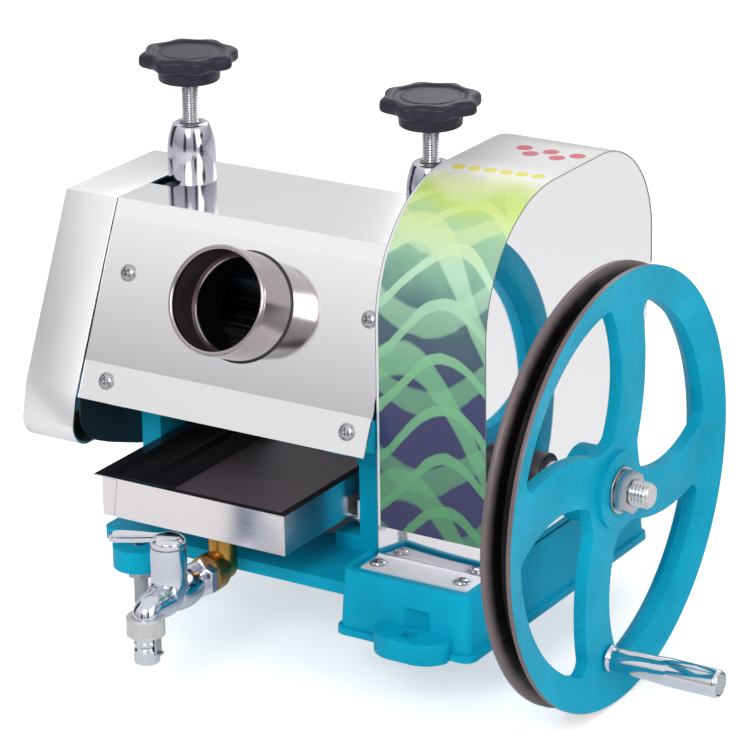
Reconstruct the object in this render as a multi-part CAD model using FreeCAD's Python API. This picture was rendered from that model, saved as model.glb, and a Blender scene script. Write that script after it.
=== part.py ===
import FreeCAD, Part
import math
import os

# Manual three-roller sugarcane juicer, in millimetres.
# Origin: midway between the two bench bolt holes of the gear box casting, on its underside.
# +X points along the roller axes towards the flywheel, +Y to the back, +Z up.

os.makedirs("parts", exist_ok=True)
V = FreeCAD.Vector

# How far a cut runs past the face it opens
over = 1.0

# Base casting: a gear box pan on the right and a raised plate on the left
pan_left = -61.0
pan_right = 41.0
pan_depth = 249.0
pan_height = 46.5
pan_draft = 2.1
pan_wall = 5.0
pan_corner = 6.0
pan_rim = 2.5
pan_under_wall = 7.0
least_corner = 1.5
deck_thickness = 8.0
skirt_height = 5.0
skirt_width = 2.5
plate_left = -264.0
plate_front = -110.5
plate_rear = 119.5
plate_bottom = 21.0
plate_thickness = 9.0
plate_corner = 5.0
drop_front = -44.0
drop_rear = 58.0
drop_margin = 12.0
drop_corner = 8.0
pan_lug_radius = 28.0
pan_lug_reach = 21.0
pan_lug_thickness = 15.0
lug_waist = 0.96
lug_root = 2.0
lug_knee = 0.35
lug_shoulder_width = 0.72
lug_shoulder_reach = 0.82
lug_tip = 0.2
bench_hole_radius = 5.5
bench_hole_offset = 7.0
spotface_radius = 13.0
spotface_height = 29.0
plate_lug_x = -231.0
plate_lug_radius = 19.0
plate_lug_inset = 3.0
plate_lug_bottom = 9.0
plate_lug_thickness = 16.0
stud_radius = 5.0
stud_clearance = 0.3
stud_bottom = -20.0
stud_nut_height = 8.0
stud_nut_flats = 16.0

# Housing of bent sheet between the end cover and the gear guard
sheet = 1.5
panel_left = -286.0
panel_right = -51.5
panel_bottom_y = -104.6
panel_bottom_z = 120.3
panel_tilt = 23.8
panel_slant = 142.3
housing_middle_y = 5.5
screw_low = 15.2
screw_high = 91.7

# Side frames
machine_middle_x = -166.5
frame_gap = 165.0
web_thickness = 16.0
boss_reach = 16.0
leg_front = -58.5
leg_fillet = 12.0
frame_lift = 1.5
frame_ledge = 4.5
frame_bevel = 3.0
arch_width = 46.0
arch_height = 34.0
foot_width = 20.0
foot_height = 11.0
cap_thickness = 10.5
cap_half_length = 42.0
screw_boss_radius = 11.0
screw_boss_depth = 14.0
bearing_wall = 8.0
slot_wall = 16.0
panel_screw_radius = 2.5
panel_head_radius = 5.6
panel_head_height = 3.0
cross_depth = 1.8
cross_reach = 3.1
cross_half = 0.5
lip_reach = 11.0
lip_gap = 1.0
foot_bolt_radius = 4.0
foot_bolt_flats = 13.0
foot_head_height = 5.3
foot_tip = 8.0
cap_screw_radius = 3.0
cap_screw_offset = 28.5
cap_screw_grip = 16.0
cap_head_radius = 5.0
cap_head_height = 6.0
cap_head_sink = 0.5
socket_depth = 3.0
socket_flats = 5.0
window_high = 98.0
window_cut = 5.0
window_reach = 40.0
window_width = 154.0
chute_inner_y = 80.0
chute_inner_z = 162.5
chute_outer_y = 152.0
chute_drop = 36.0
chute_width = 150.0
chute_wall = 15.0
chute_wall_start = 14.0
chute_nose = 12.0
chute_nose_height = 6.0
guide_top = 156.0
guide_head_half = 5.0
guide_neck_half = 3.4
guide_neck_drop = 6.0
guide_web_half = 2.0
guide_web_drop = 15.0
guide_bar_top = 120.0
guide_bar_height = 12.0
guide_bar_half = 7.0

# Rollers and their drive
roller_radius = 34.7
roller_end_gap = 5.5
roller_left_end = -313.0
lower_right_end = -53.0
top_right_end = -14.0
roller_flutes = 24
flute_depth = 0.9
flute_shape = (0.5, 0.62, 0.88)
journal_radius = 10.0
bush_wall = 3.0
running_gap = 0.05
top_roller_y = 13.5
nip_spread = 37.5
roller_gear_teeth = 20
roller_gear_module = 3.5
roller_gear_width = 18.0
roller_gear_left = -310.0
drive_module = 3.0
pinion_teeth = 15
drive_gear_teeth = 55
drive_gear_width = 20.0
drive_gear_left = -40.0
pinion_overlap = 1.5
gear_backlash = 0.8
pressure_angle = 20.0
gear_tip = 1.0
stub_tip = 0.62
drive_tip = 0.85
gear_root = 1.25
flank_steps = 3
key_width = 6.0
key_rise = 3.0
shaft_y = -43.5
shaft_z = 109.0
shaft_radius = 10.0
shaft_set_in = 1.0
shaft_centre_radius = 4.0
shaft_centre_depth = 6.0
block_half_width = 19.7
block_half_height = 20.0
slide_gap = 0.3
lift_travel = 2.0
block_boss_height = 8.0
block_boss_radius = 11.5

# Pressure screws, spring columns and star knobs
column_radius = 17.2
column_top_radius = 12.5
column_height = 42.0
column_bore_radius = 12.7
column_neck_radius = 15.0
notch_front = -9.0
notch_rear = 36.0
column_crown = 9.0
column_belt = 0.52
column_shoulder = 0.55
column_swell = 1.2
thrust_pad_height = 7.0
disc_spring_radius = 11.8
disc_spring_bore = 6.4
disc_spring_thickness = 1.6
disc_spring_cone = 1.1
disc_spring_pairs = 5
press_screw_radius = 6.0
knob_radius = 35.5
knob_lobes = 8
knob_lobe_depth = 4.5
knob_rim_height = 10.5
knob_hub_radius = 22.5
knob_hub_height = 11.0
knob_dish_radius = 25.0
knob_dish_depth = 2.0
knob_left_bottom = 323.5
knob_right_bottom = 318.5
press_screw_grip = 15.5

# Feed tube
tube_radius = 38.0
tube_wall = 1.6
tube_reach = 38.0
tube_inner_reach = 22.0
tube_axis_slant = 84.0
tube_flange = 9.0
tube_flange_thickness = 2.0

# Left end cover
cover_left = -330.0
cover_bottom = 82.0
cover_corner = 18.0
cover_post_radius = 6.0
cover_post_inset = 2.0
cover_post_drop = 10.0
cover_screw_radius = 2.5
cover_head_radius = 4.8
cover_head_height = 2.6
cover_gap = 0.6
cover_slack = 1.0
cover_knee = 4.0
cover_toe = 6.5
cover_hole_depth = 12.0
cover_screw_grip = 11.0

# Gear guard
guard_left = -50.4
guard_right = 33.0
guard_sheet = 1.2
guard_front = -88.5
guard_rear_foot = 115.0
guard_rear_bulge = 143.5
guard_top = 298.5
guard_foot_reach = 23.0
guard_slot_radius = 3.4
guard_screw_radius = 3.0
guard_screw_grip = 6.0
guard_screw_left = -43.0
guard_screw_right = 21.5
guard_screw_y = -101.0
guard_front_radius = 90.0
guard_rear_radius = 76.0
guard_rear_knee = 200.0
guard_rear_flange = 14.0
guard_foot_notch = 1.0
guard_shaft_gap = 2.5
guard_head_radius = 6.0
guard_head_height = 3.2

# Outboard bearing of the drive shaft
stand_left = 0.0
stand_thickness = 14.0
stand_foot = 64.0
stand_neck = 34.0
stand_head_radius = 22.0
stand_foot_height = 12.0
stand_bolt_inset = 8.0
stand_bolt_radius = 4.0
stand_bolt_flats = 13.0
stand_head_height = 5.0

# Flywheel
wheel_radius = 150.0
wheel_front = 111.7
wheel_width = 22.0
wheel_dish = 6.0
rim_depth = 22.0
rim_rear_step = 5.0
rim_edge = 1.0
wheel_web_thickness = 9.0
wheel_lip = 3.3
groove_depth = 11.5
groove_floor = 4.4
spoke_count = 4
spoke_hub_fillet = 9.0
spoke_rim_fillet = 8.0
hub_front_radius = 26.0
hub_front_height = 3.5
hub_rear_radius = 26.0
hub_rear_length = 20.0
wheel_nut_flats = 27.0
wheel_nut_height = 11.0
wheel_thread_radius = 9.0
shaft_end = 132.4
wheel_washer = 2.0
wheel_washer_radius = 16.0
window_lead_angle = 74.9
window_trail_angle = 4.1
window_lead_root = (0.234, 0.1875)
window_lead_middle = (0.3125, 0.5312)
window_trail_root = (0.2656, 0.0312)
window_trail_middle = (0.5156, -0.0508)
window_inner_share = 0.35
window_outer_share = 0.78
collar_left = 38.0
collar_length = 17.0
collar_radius = 14.5

# Crank handle
handle_inset = 30.76
handle_angle = 266.4
handle_base_radius = 7.7
handle_end_radius = 9.7
handle_length = 83.0
handle_gap = 0.3
handle_stud_radius = 4.0
handle_stud_tail = 3.0
handle_recess_gap = 0.4
handle_taper = 0.75
handle_cap_radius = 7.5
handle_cap_height = 3.5
handle_nut_flats = 13.0
handle_nut_height = 6.5

# Juice tray, outlet elbow and tap
tray_left = -239.5
tray_right = -90.5
tray_front = -142.5
tray_rear = 84.0
tray_bottom = 55.5
tray_height = 28.5
tray_sheet = 1.2
tray_rim = 7.0
rail_width = 12.0
rail_sheet = 2.5
rail_height = 14.0
elbow_x = -151.5
elbow_y = -127.5
elbow_z = 31.0
elbow_radius = 9.8
elbow_collar_radius = 13.2
elbow_collar_length = 12.0
elbow_reach = 22.0
elbow_bore = 7.0
elbow_flange = 11.0
elbow_flange_thickness = 1.6
elbow_swell = 0.6
elbow_socket = 10.0
outlet_wall = 2.0
tap_barrel_y = -190.5
tap_barrel_radius = 12.4
tap_barrel_top = 75.0
tap_body_radius = 13.5
tap_hex_flats = 24.0
tap_hex_length = 9.0
tap_neck_radius = 9.0
tap_swell_inset = 8.0
tap_hex_bevel = 1.5
tap_bore_depth = 22.0
spout_radius = 9.2
spout_lift = 8.0
spout_top = 19.0
spout_bend = (4.0, 11.0)
spout_elbow = (6.0, 3.5)
spout_end = 3.0
spout_bore_height = 14.0
ring_radius = 13.0
ring_height = 13.0
ring_recess = 4.0
nozzle_radius = 8.7
nozzle_length = 20.0
nozzle_bore = 5.5
nozzle_y = -219.2
nozzle_bottom = -4.6
nozzle_groove = 1.2
nozzle_shoulder = 0.4
groove_lift = 1.5
clip_lift = 7.0
clip_half = 3.0
clip_sheet = 1.6
clip_reach = 3.4
clip_sink = 0.2
knurl_count = 40
knurl_depth = 0.5
lever_length = 40.0
lever_width = 15.0
lever_thickness = 4.0
lever_cap_radius = 11.5
lever_cap_height = 7.0
lever_gap = 0.3
lever_angle = 205.0

# Values worked out from the sizes above
tilt = math.radians(panel_tilt)
plate_top = plate_bottom + plate_thickness
deck_top = pan_height - pan_rim
pan_front = -pan_depth / 2
panel_top_z = panel_bottom_z + panel_slant * math.cos(tilt)
panel_top_y = panel_bottom_y + panel_slant * math.sin(tilt)
frame_top = panel_top_z - 2 * sheet - cap_thickness
left_web_inner = machine_middle_x - frame_gap / 2
right_web_inner = machine_middle_x + frame_gap / 2
boss_width = web_thickness + boss_reach
frame_middle = frame_gap / 2 + boss_width / 2
drive_distance = drive_module * (pinion_teeth + drive_gear_teeth) / 2
top_roller_z = shaft_z + math.sqrt(drive_distance ** 2 - (top_roller_y - shaft_y) ** 2)
roller_distance = roller_gear_module * roller_gear_teeth
lower_roller_z = top_roller_z - math.sqrt(roller_distance ** 2 - nip_spread ** 2)
front_roller_y = top_roller_y - nip_spread
rear_roller_y = top_roller_y + nip_spread
bush_radius = journal_radius + bush_wall
block_top = top_roller_z + block_half_height
wheel_rear = wheel_front - wheel_width
wheel_web_radius = wheel_radius - rim_depth
handle_y = shaft_y + (wheel_radius - handle_inset) * math.cos(math.radians(handle_angle))
handle_z = shaft_z + (wheel_radius - handle_inset) * math.sin(math.radians(handle_angle))
left_screw_top = knob_left_bottom + press_screw_grip
right_screw_top = knob_right_bottom + press_screw_grip
web_front = wheel_front - wheel_dish
web_rear = web_front - wheel_web_thickness


def box(x0, x1, y0, y1, z0, z1):
    """A block between two opposite corners."""
    return Part.makeBox(x1 - x0, y1 - y0, z1 - z0, V(x0, y0, z0))


def x_rod(radius, x0, x1, y, z):
    """A round bar along X."""
    return Part.makeCylinder(radius, x1 - x0, V(x0, y, z), V(1, 0, 0))


def z_rod(radius, z0, z1, x, y):
    """A round bar along Z."""
    return Part.makeCylinder(radius, z1 - z0, V(x, y, z0), V(0, 0, 1))


def edges_of(start, steps, place):
    """Edges from start through steps: a point makes a line, a pair of points an arc through the first."""
    edges = []
    here = start
    for step in steps:
        if isinstance(step[0], tuple):
            middle, end = step
            edges.append(Part.Arc(place(here), place(middle), place(end)).toShape())
            here = end
        elif math.dist(here, step) > 1e-6:
            edges.append(Part.makeLine(place(here), place(step)))
            here = step
    return edges


def x_profile(start, steps, x0, x1):
    """A closed outline in the YZ plane, extruded along X from x0 to x1."""
    wire = Part.Wire(edges_of(start, list(steps) + [start], lambda p: V(x0, p[0], p[1])))
    return Part.Face(wire).extrude(V(x1 - x0, 0, 0))


def z_profile(start, steps, z0, z1):
    """A closed outline in the XY plane, extruded along Z from z0 to z1."""
    wire = Part.Wire(edges_of(start, list(steps) + [start], lambda p: V(p[0], p[1], z0)))
    return Part.Face(wire).extrude(V(0, 0, z1 - z0))


def turned_x(points, y, z):
    """A profile of (x, radius) points turned about the line through (y, z) along X."""
    wire = Part.makePolygon([V(x, y, z + r) for x, r in points + points[:1]])
    return Part.Face(wire).revolve(V(0, y, z), V(1, 0, 0), 360)


def turned_z(start, steps, x, y):
    """A profile of (radius, z) points and arcs turned about the vertical line through (x, y)."""
    wire = Part.Wire(edges_of(start, list(steps) + [start], lambda p: V(x + p[0], y, p[1])))
    return Part.Face(wire).revolve(V(x, y, 0), V(0, 0, 1), 360)


def hex_bar(flats, length, base, axis):
    """A hexagonal bar of the given width across flats, standing on base along axis."""
    corner = flats / math.sqrt(3)
    prism = Part.Face(Part.makePolygon([
        V(corner * math.cos(math.radians(60 * k)), corner * math.sin(math.radians(60 * k)), 0)
        for k in range(7)
    ])).extrude(V(0, 0, length))
    prism.Placement = FreeCAD.Placement(base, FreeCAD.Rotation(V(0, 0, 1), axis))
    return prism


def rounded(shape, radius, chosen):
    """The shape with the edges that chosen accepts rounded to radius."""
    edges = [edge for edge in shape.Edges if chosen(edge)]
    return shape.makeFillet(radius, edges) if edges else shape


def along(edge, direction):
    """True for a straight edge parallel to direction."""
    if not isinstance(edge.Curve, Part.Line):
        return False
    return abs(edge.Curve.Direction.dot(direction)) > 0.999


def group(shapes):
    """Separate solids that share one node."""
    return Part.makeCompound([solid for shape in shapes for solid in shape.Solids])


def export(name, shape):
    """Write one node, without seams that only split a face, and print its size."""
    shape = shape.removeSplitter()
    shape.exportStep("parts/" + name + ".step")
    print(name, len(shape.Solids), round(shape.Volume), shape.isValid())


def panel_point(slant, offset=0.0):
    """(y, z) on the front panel's outer plane, slant up from its lower edge, offset outwards."""
    y = panel_bottom_y + slant * math.sin(tilt) - offset * math.cos(tilt)
    z = panel_bottom_z + slant * math.cos(tilt) + offset * math.sin(tilt)
    return (y, z)


def mirrored(point):
    """The same (y, z) point on the rear side of the housing."""
    return (2 * housing_middle_y - point[0], point[1])


def front_inside(z):
    """y of the front panel's inner face at height z."""
    return panel_bottom_y + (z - panel_bottom_z) * math.tan(tilt) + sheet / math.cos(tilt)


def pan_outline(z, inset):
    """The pan's rounded rectangle at height z, drawn in by inset, with the draft of its walls."""
    draw = pan_draft * z / pan_height + inset
    x0 = pan_left + draw
    x1 = pan_right - draw
    y0 = pan_front + draw
    y1 = -pan_front - draw
    r = max(pan_corner - inset, least_corner)
    s = r * (1 - math.sqrt(0.5))
    steps = [
        (x1 - r, y0),
        ((x1 - s, y0 + s), (x1, y0 + r)),
        (x1, y1 - r),
        ((x1 - s, y1 - s), (x1 - r, y1)),
        (x0 + r, y1),
        ((x0 + s, y1 - s), (x0, y1 - r)),
        (x0, y0 + r),
        ((x0 + s, y0 + s), (x0 + r, y0)),
    ]
    return Part.Wire(edges_of((x0 + r, y0), steps, lambda p: V(p[0], p[1], z)))


def pan_block(z0, z1, inset):
    """The solid between two heights of the pan's drafted outline."""
    return Part.makeLoft([pan_outline(z0, inset), pan_outline(z1, inset)], True, True)


def lug(x, y, radius, reach, z0, z1, side):
    """A tongue with a rounded end that reaches out along side (-1 front, +1 back)."""
    waist = radius * lug_waist
    root = y - side * lug_root
    tip = y + side * reach
    knee = y + side * reach * lug_knee
    shoulder = (x + radius * lug_shoulder_width, y + side * reach * lug_shoulder_reach)
    return z_profile(
        (x - waist, root),
        [
            (x + waist, root),
            (x + radius, knee),
            (shoulder, (x + radius * lug_tip, tip)),
            (x - radius * lug_tip, tip),
            ((2 * x - shoulder[0], shoulder[1]), (x - radius, knee)),
        ],
        z0,
        z1,
    )


def base_casting():
    """Pan with a recessed deck and open underside, joined to the raised plate and the four lugs."""
    body = pan_block(0, pan_height, 0)
    body = body.fuse(pan_block(0, skirt_height, -skirt_width))
    body = body.cut(pan_block(deck_top, pan_height + over, pan_wall))
    body = body.cut(pan_block(-over, deck_top - deck_thickness, pan_under_wall))
    plate = box(plate_left, pan_left + pan_wall, plate_front, plate_rear, plate_bottom, plate_top)
    plate = rounded(plate, plate_corner,
                    lambda e: along(e, V(0, 0, 1)) and e.CenterOfMass.x < plate_left + over)
    opening = box(
        left_web_inner + foot_width + drop_margin,
        right_web_inner - foot_width - drop_margin,
        drop_front,
        drop_rear,
        plate_bottom - over,
        plate_top + over,
    )
    plate = plate.cut(rounded(opening, drop_corner, lambda e: along(e, V(0, 0, 1))))
    body = body.fuse(plate)
    for side in (-1, 1):
        edge = side * pan_depth / 2
        body = body.fuse(lug(0, edge, pan_lug_radius, pan_lug_reach, 0, pan_lug_thickness, side))
        hole_y = edge + side * bench_hole_offset
        body = body.cut(z_rod(spotface_radius, pan_lug_thickness, spotface_height, 0, hole_y))
        body = body.cut(z_rod(bench_hole_radius, -over, pan_lug_thickness + over, 0, hole_y))
    for edge, side in ((plate_front, -1), (plate_rear, 1)):
        ear = z_rod(plate_lug_radius, plate_lug_bottom, plate_lug_bottom + plate_lug_thickness,
                    plate_lug_x, edge + side * plate_lug_inset)
        body = body.fuse(ear)
        body = body.cut(z_rod(stud_radius + stud_clearance, plate_lug_bottom - over, plate_top + over,
                              plate_lug_x, edge + side * plate_lug_inset))
    for x, y in foot_places():
        body = body.cut(z_rod(foot_bolt_radius, plate_bottom - over, plate_top + over, x, y))
    for y in stand_bolt_places():
        body = body.cut(z_rod(stand_bolt_radius, 0, deck_top + over, stand_bolt_x(), y))
    for x in (guard_screw_left, guard_screw_right):
        body = body.cut(z_rod(guard_screw_radius, deck_top - guard_screw_grip, deck_top + over,
                              x, guard_screw_y))
    return body


def frame_outline():
    """Outline of a side frame: two legs, a body behind the sloping panels, a flat top."""
    low = panel_bottom_z + frame_lift
    f_low = (front_inside(low), low)
    f_top = (front_inside(frame_top), frame_top)
    leg_rear = 2 * housing_middle_y - leg_front
    under = low - frame_ledge
    r = leg_fillet
    s = r * (1 - math.sqrt(0.5))
    arch_left = housing_middle_y - arch_width / 2
    arch_right = housing_middle_y + arch_width / 2
    arch_top = plate_top + arch_height
    start = (leg_front, plate_top)
    steps = [
        (leg_front, under - r),
        ((leg_front - s, under - s), (leg_front - r, under)),
        (f_low[0] + frame_bevel, under),
        f_low,
        f_top,
        mirrored(f_top),
        mirrored(f_low),
        mirrored((f_low[0] + frame_bevel, under)),
        (leg_rear + r, under),
        ((leg_rear + s, under - s), (leg_rear, under - r)),
        (leg_rear, plate_top),
        (arch_right, plate_top),
        (arch_right, arch_top - arch_width / 2),
        ((housing_middle_y, arch_top), (arch_left, arch_top - arch_width / 2)),
        (arch_left, plate_top),
    ]
    return start, steps


def panel_pads(x0, x1):
    """Pads behind the panel screws, front and rear, between x0 and x1."""
    pads = []
    for slant in (screw_low, screw_high):
        corners = [
            panel_point(slant - screw_boss_radius, -sheet),
            panel_point(slant + screw_boss_radius, -sheet),
            panel_point(slant + screw_boss_radius, -sheet - screw_boss_depth),
            panel_point(slant - screw_boss_radius, -sheet - screw_boss_depth),
        ]
        pads.append(x_profile(corners[0], corners[1:], x0, x1))
        corners = [mirrored(point) for point in corners]
        pads.append(x_profile(corners[0], corners[1:], x0, x1))
    return pads


def side_x(side, near, far):
    """The X interval that lies near to far outside a frame's inner face; side -1 left, +1 right."""
    inner = machine_middle_x + side * frame_gap / 2
    return tuple(sorted((inner + side * near, inner + side * far)))


def screw_hole(x, slant, radius, depth, back, height=0.0):
    """A bar along the panel screw's axis, from height above the sheet to depth below it."""
    y, z = panel_point(slant, height)
    axis = V(0, math.cos(tilt), -math.sin(tilt))
    if back:
        y = 2 * housing_middle_y - y
        axis = V(0, -math.cos(tilt), -math.sin(tilt))
    return Part.makeCylinder(radius, depth + height, V(x, y, z), axis)


def screw_seats():
    """(x, slant, back) of the eight panel screws."""
    return [
        (machine_middle_x + side * frame_middle, slant, back)
        for side in (-1, 1)
        for slant in (screw_low, screw_high)
        for back in (False, True)
    ]


def foot_places():
    """(x, y) of the frame foot bolts."""
    half = (leg_front + housing_middle_y - arch_width / 2) / 2
    return [
        (machine_middle_x + side * (frame_gap / 2 - foot_width / 2), y)
        for side in (-1, 1)
        for y in (half, 2 * housing_middle_y - half)
    ]


def cap_screw_places():
    """(x, y) of the screws that hold the frame caps."""
    return [
        (machine_middle_x + side * frame_middle, top_roller_y + way * cap_screw_offset)
        for side in (-1, 1)
        for way in (-1, 1)
    ]


def side_frame(side):
    """Cast side frame: web, bearing bosses, screw pads and foot flanges; side -1 left, +1 right."""
    x0, x1 = side_x(side, 0, web_thickness)
    b0, b1 = side_x(side, 0, boss_width)
    start, steps = frame_outline()
    web = x_profile(start, steps, x0, x1)
    for y in (front_roller_y, rear_roller_y):
        web = web.fuse(x_rod(bush_radius + bearing_wall, b0, b1, y, lower_roller_z))
    for pad in panel_pads(b0, b1):
        web = web.fuse(pad)
    wall = block_half_width + slot_wall
    web = web.fuse(box(b0, b1, top_roller_y - wall, top_roller_y + wall,
                       top_roller_z - block_half_height - slot_wall, frame_top))
    if side > 0:
        web = web.fuse(x_rod(bush_radius + bearing_wall, b0, b1, shaft_y, shaft_z))
        web = web.cut(x_rod(bush_radius, b0 - over, b1 + over, shaft_y, shaft_z))
    slot = block_half_width + slide_gap
    web = web.cut(box(b0 - over, b1 + over, top_roller_y - slot, top_roller_y + slot,
                      top_roller_z - block_half_height, frame_top + over))
    f0, f1 = side_x(side, -foot_width, over)
    leg_inner = housing_middle_y - arch_width / 2
    for y0, y1 in ((leg_front, leg_inner), mirrored_span(leg_front, leg_inner)):
        web = web.fuse(box(f0, f1, y0, y1, plate_top, plate_top + foot_height))
    for y in (front_roller_y, rear_roller_y):
        web = web.cut(x_rod(bush_radius, b0 - over, b1 + over, y, lower_roller_z))
    for x, slant, back in screw_seats():
        if b0 < x < b1:
            web = web.cut(screw_hole(x, slant, panel_screw_radius, screw_boss_depth, back))
    for x, y in foot_places():
        web = web.cut(z_rod(foot_bolt_radius, plate_top - over, plate_top + foot_height + over, x, y))
    for x, y in cap_screw_places():
        web = web.cut(z_rod(cap_screw_radius, frame_top - cap_screw_grip, frame_top + over, x, y))
    return web


def mirrored_span(y0, y1):
    """The y interval on the rear side that answers to y0..y1 on the front side."""
    return (2 * housing_middle_y - y1, 2 * housing_middle_y - y0)


def frame_caps():
    """The two caps that close the bearing slots and carry the spring columns."""
    caps = []
    for side in (-1, 1):
        b0, b1 = side_x(side, 0, boss_width)
        middle = machine_middle_x + side * frame_middle
        cap = box(b0, b1, top_roller_y - cap_half_length, top_roller_y + cap_half_length,
                  frame_top, frame_top + cap_thickness)
        cap = cap.cut(z_rod(column_bore_radius, frame_top - over, frame_top + cap_thickness + over,
                            middle, top_roller_y))
        for x, y in cap_screw_places():
            if b0 < x < b1:
                cap = cap.cut(z_rod(cap_screw_radius, frame_top - over, frame_top + cap_thickness, x, y))
                cap = cap.cut(z_rod(cap_head_radius, frame_top + cap_thickness - cap_head_height,
                                    frame_top + cap_thickness + over, x, y))
        caps.append(cap)
    return group(caps)


def cap_screws():
    """Socket head screws, sunk in the caps."""
    screws = []
    top = frame_top + cap_thickness
    for x, y in cap_screw_places():
        screw = z_rod(cap_head_radius, top - cap_head_height, top - cap_head_sink, x, y)
        screw = screw.fuse(z_rod(cap_screw_radius, frame_top - cap_screw_grip,
                                 top - cap_head_height, x, y))
        socket = hex_bar(socket_flats, socket_depth + over, V(x, y, top - cap_head_sink - socket_depth),
                         V(0, 0, 1))
        screws.append(screw.cut(socket))
    return group(screws)


def hex_bolt(x, y, seat, flats, head, radius, tip, nut=0.0, nut_top=0.0):
    """Upright bolt: hexagon head on seat, shank down to tip, with a nut below nut_top if asked."""
    bolt = hex_bar(flats, head, V(x, y, seat), V(0, 0, 1)).fuse(z_rod(radius, tip, seat, x, y))
    if nut:
        bolt = bolt.fuse(hex_bar(flats, nut, V(x, y, nut_top - nut), V(0, 0, 1)))
    return bolt


def foot_bolts():
    """Bolts of the frame feet through the plate, with their nuts under it."""
    return group([
        hex_bolt(x, y, plate_top + foot_height, foot_bolt_flats, foot_head_height, foot_bolt_radius,
                 plate_bottom - foot_tip, foot_head_height, plate_bottom)
        for x, y in foot_places()
    ])


def plate_stud_places():
    """y of the two hold-down studs in the plate's lugs."""
    return (plate_front - plate_lug_inset, plate_rear + plate_lug_inset)


def plate_studs():
    """Threaded studs that hang from the plate's lugs."""
    return group([
        z_rod(stud_radius, stud_bottom, plate_lug_bottom + plate_lug_thickness, plate_lug_x, y)
        for y in plate_stud_places()
    ])


def plate_stud_nuts():
    """Nuts under the plate's lugs."""
    nuts = []
    for y in plate_stud_places():
        nut = hex_bar(stud_nut_flats, stud_nut_height,
                      V(plate_lug_x, y, plate_lug_bottom - stud_nut_height), V(0, 0, 1))
        nuts.append(nut.cut(z_rod(stud_radius, stud_bottom, plate_top, plate_lug_x, y)))
    return group(nuts)


def bush(x0, x1, y, z):
    """A plain bearing bush."""
    return x_rod(bush_radius, x0, x1, y, z).cut(
        x_rod(journal_radius + running_gap, x0 - over, x1 + over, y, z))


def frame_bushes():
    """Bushes of the two lower rollers and of the drive shaft."""
    bushes = []
    for side in (-1, 1):
        b0, b1 = side_x(side, 0, boss_width)
        bushes += [bush(b0, b1, y, lower_roller_z) for y in (front_roller_y, rear_roller_y)]
    b0, b1 = side_x(1, 0, boss_width)
    bushes.append(bush(b0, b1, shaft_y, shaft_z))
    bushes.append(bush(stand_left, stand_left + stand_thickness, shaft_y, shaft_z))
    return group(bushes)


def outboard_stand():
    """Pedestal on the pan's deck that carries the drive shaft beside the pinion."""
    x1 = stand_left + stand_thickness
    half = stand_foot / 2
    neck = stand_neck / 2
    foot_top = deck_top + stand_foot_height
    outline = [
        (shaft_y + half, deck_top),
        (shaft_y + half, foot_top),
        (shaft_y + neck, foot_top + half - neck),
        (shaft_y + neck, shaft_z),
        (shaft_y - neck, shaft_z),
        (shaft_y - neck, foot_top + half - neck),
        (shaft_y - half, foot_top),
    ]
    stand = x_profile((shaft_y - half, deck_top), outline, stand_left, x1)
    stand = stand.fuse(x_rod(stand_head_radius, stand_left, x1, shaft_y, shaft_z))
    stand = stand.cut(x_rod(bush_radius, stand_left - 1, x1 + 1, shaft_y, shaft_z))
    for y in stand_bolt_places():
        stand = stand.cut(z_rod(stand_bolt_radius, deck_top - over, foot_top + half, stand_bolt_x(), y))
    return stand


def stand_bolt_x():
    """x of the pedestal's bolts."""
    return stand_left + stand_thickness / 2


def stand_bolt_places():
    """y of the pedestal's two bolts."""
    reach = stand_foot / 2 - stand_bolt_inset
    return (shaft_y - reach, shaft_y + reach)


def stand_bolts():
    """Bolts of the pedestal, put in from under the deck."""
    bolts = []
    seat = deck_top - deck_thickness
    for y in stand_bolt_places():
        x = stand_bolt_x()
        bolts.append(
            hex_bar(stand_bolt_flats, stand_head_height, V(x, y, seat - stand_head_height), V(0, 0, 1))
            .fuse(z_rod(stand_bolt_radius, seat, deck_top + stand_foot_height, x, y))
        )
    return group(bolts)


def tray_rails():
    """Angle rails welded to the inner faces of the frames, on which the tray slides."""
    rails = []
    for side in (-1, 1):
        v0, v1 = side_x(side, -rail_sheet, 0)
        h0, h1 = side_x(side, -rail_width, -rail_sheet)
        y0 = leg_front
        y1 = 2 * housing_middle_y - leg_front
        rail = box(v0, v1, y0, y1, tray_bottom - rail_sheet, tray_bottom - rail_sheet + rail_height)
        rails.append(rail.fuse(box(h0, h1, y0, y1, tray_bottom - rail_sheet, tray_bottom)))
    return group(rails)


def panel_sheet(back):
    """A sloping sheet of the housing with a folded lower lip and screw holes."""
    outline = [panel_point(0), panel_point(panel_slant), panel_point(panel_slant, -sheet),
               panel_point(0, -sheet)]
    lip = [panel_point(0), panel_point(sheet), (panel_bottom_y + lip_reach, panel_bottom_z + sheet),
           (panel_bottom_y + lip_reach, panel_bottom_z)]
    if back:
        outline = [mirrored(point) for point in outline]
        lip = [mirrored(point) for point in lip]
    panel = x_profile(outline[0], outline[1:], panel_left, panel_right)
    panel = panel.fuse(x_profile(lip[0], lip[1:], left_web_inner + lip_gap, right_web_inner - lip_gap))
    for x, slant, rear in screw_seats():
        if rear == back:
            panel = panel.cut(screw_hole(x, slant, panel_screw_radius, sheet + over, back, over))
    return panel


def feed_axis():
    """Base point on the panel's outer plane and inward direction of the feed tube."""
    y, z = panel_point(tube_axis_slant)
    return V(machine_middle_x, y, z), V(0, math.cos(tilt), -math.sin(tilt))


def front_panel():
    """Sloping front sheet with the hole of the feed tube."""
    base, axis = feed_axis()
    return panel_sheet(False).cut(Part.makeCylinder(tube_radius, 2 * tube_reach, base - axis * tube_reach,
                                                    axis))


def chute_under(y):
    """(y, z) on the underside of the discharge chute."""
    slope = chute_drop / (chute_outer_y - chute_inner_y)
    return (y, chute_inner_z - sheet - slope * (y - chute_inner_y))


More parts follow.
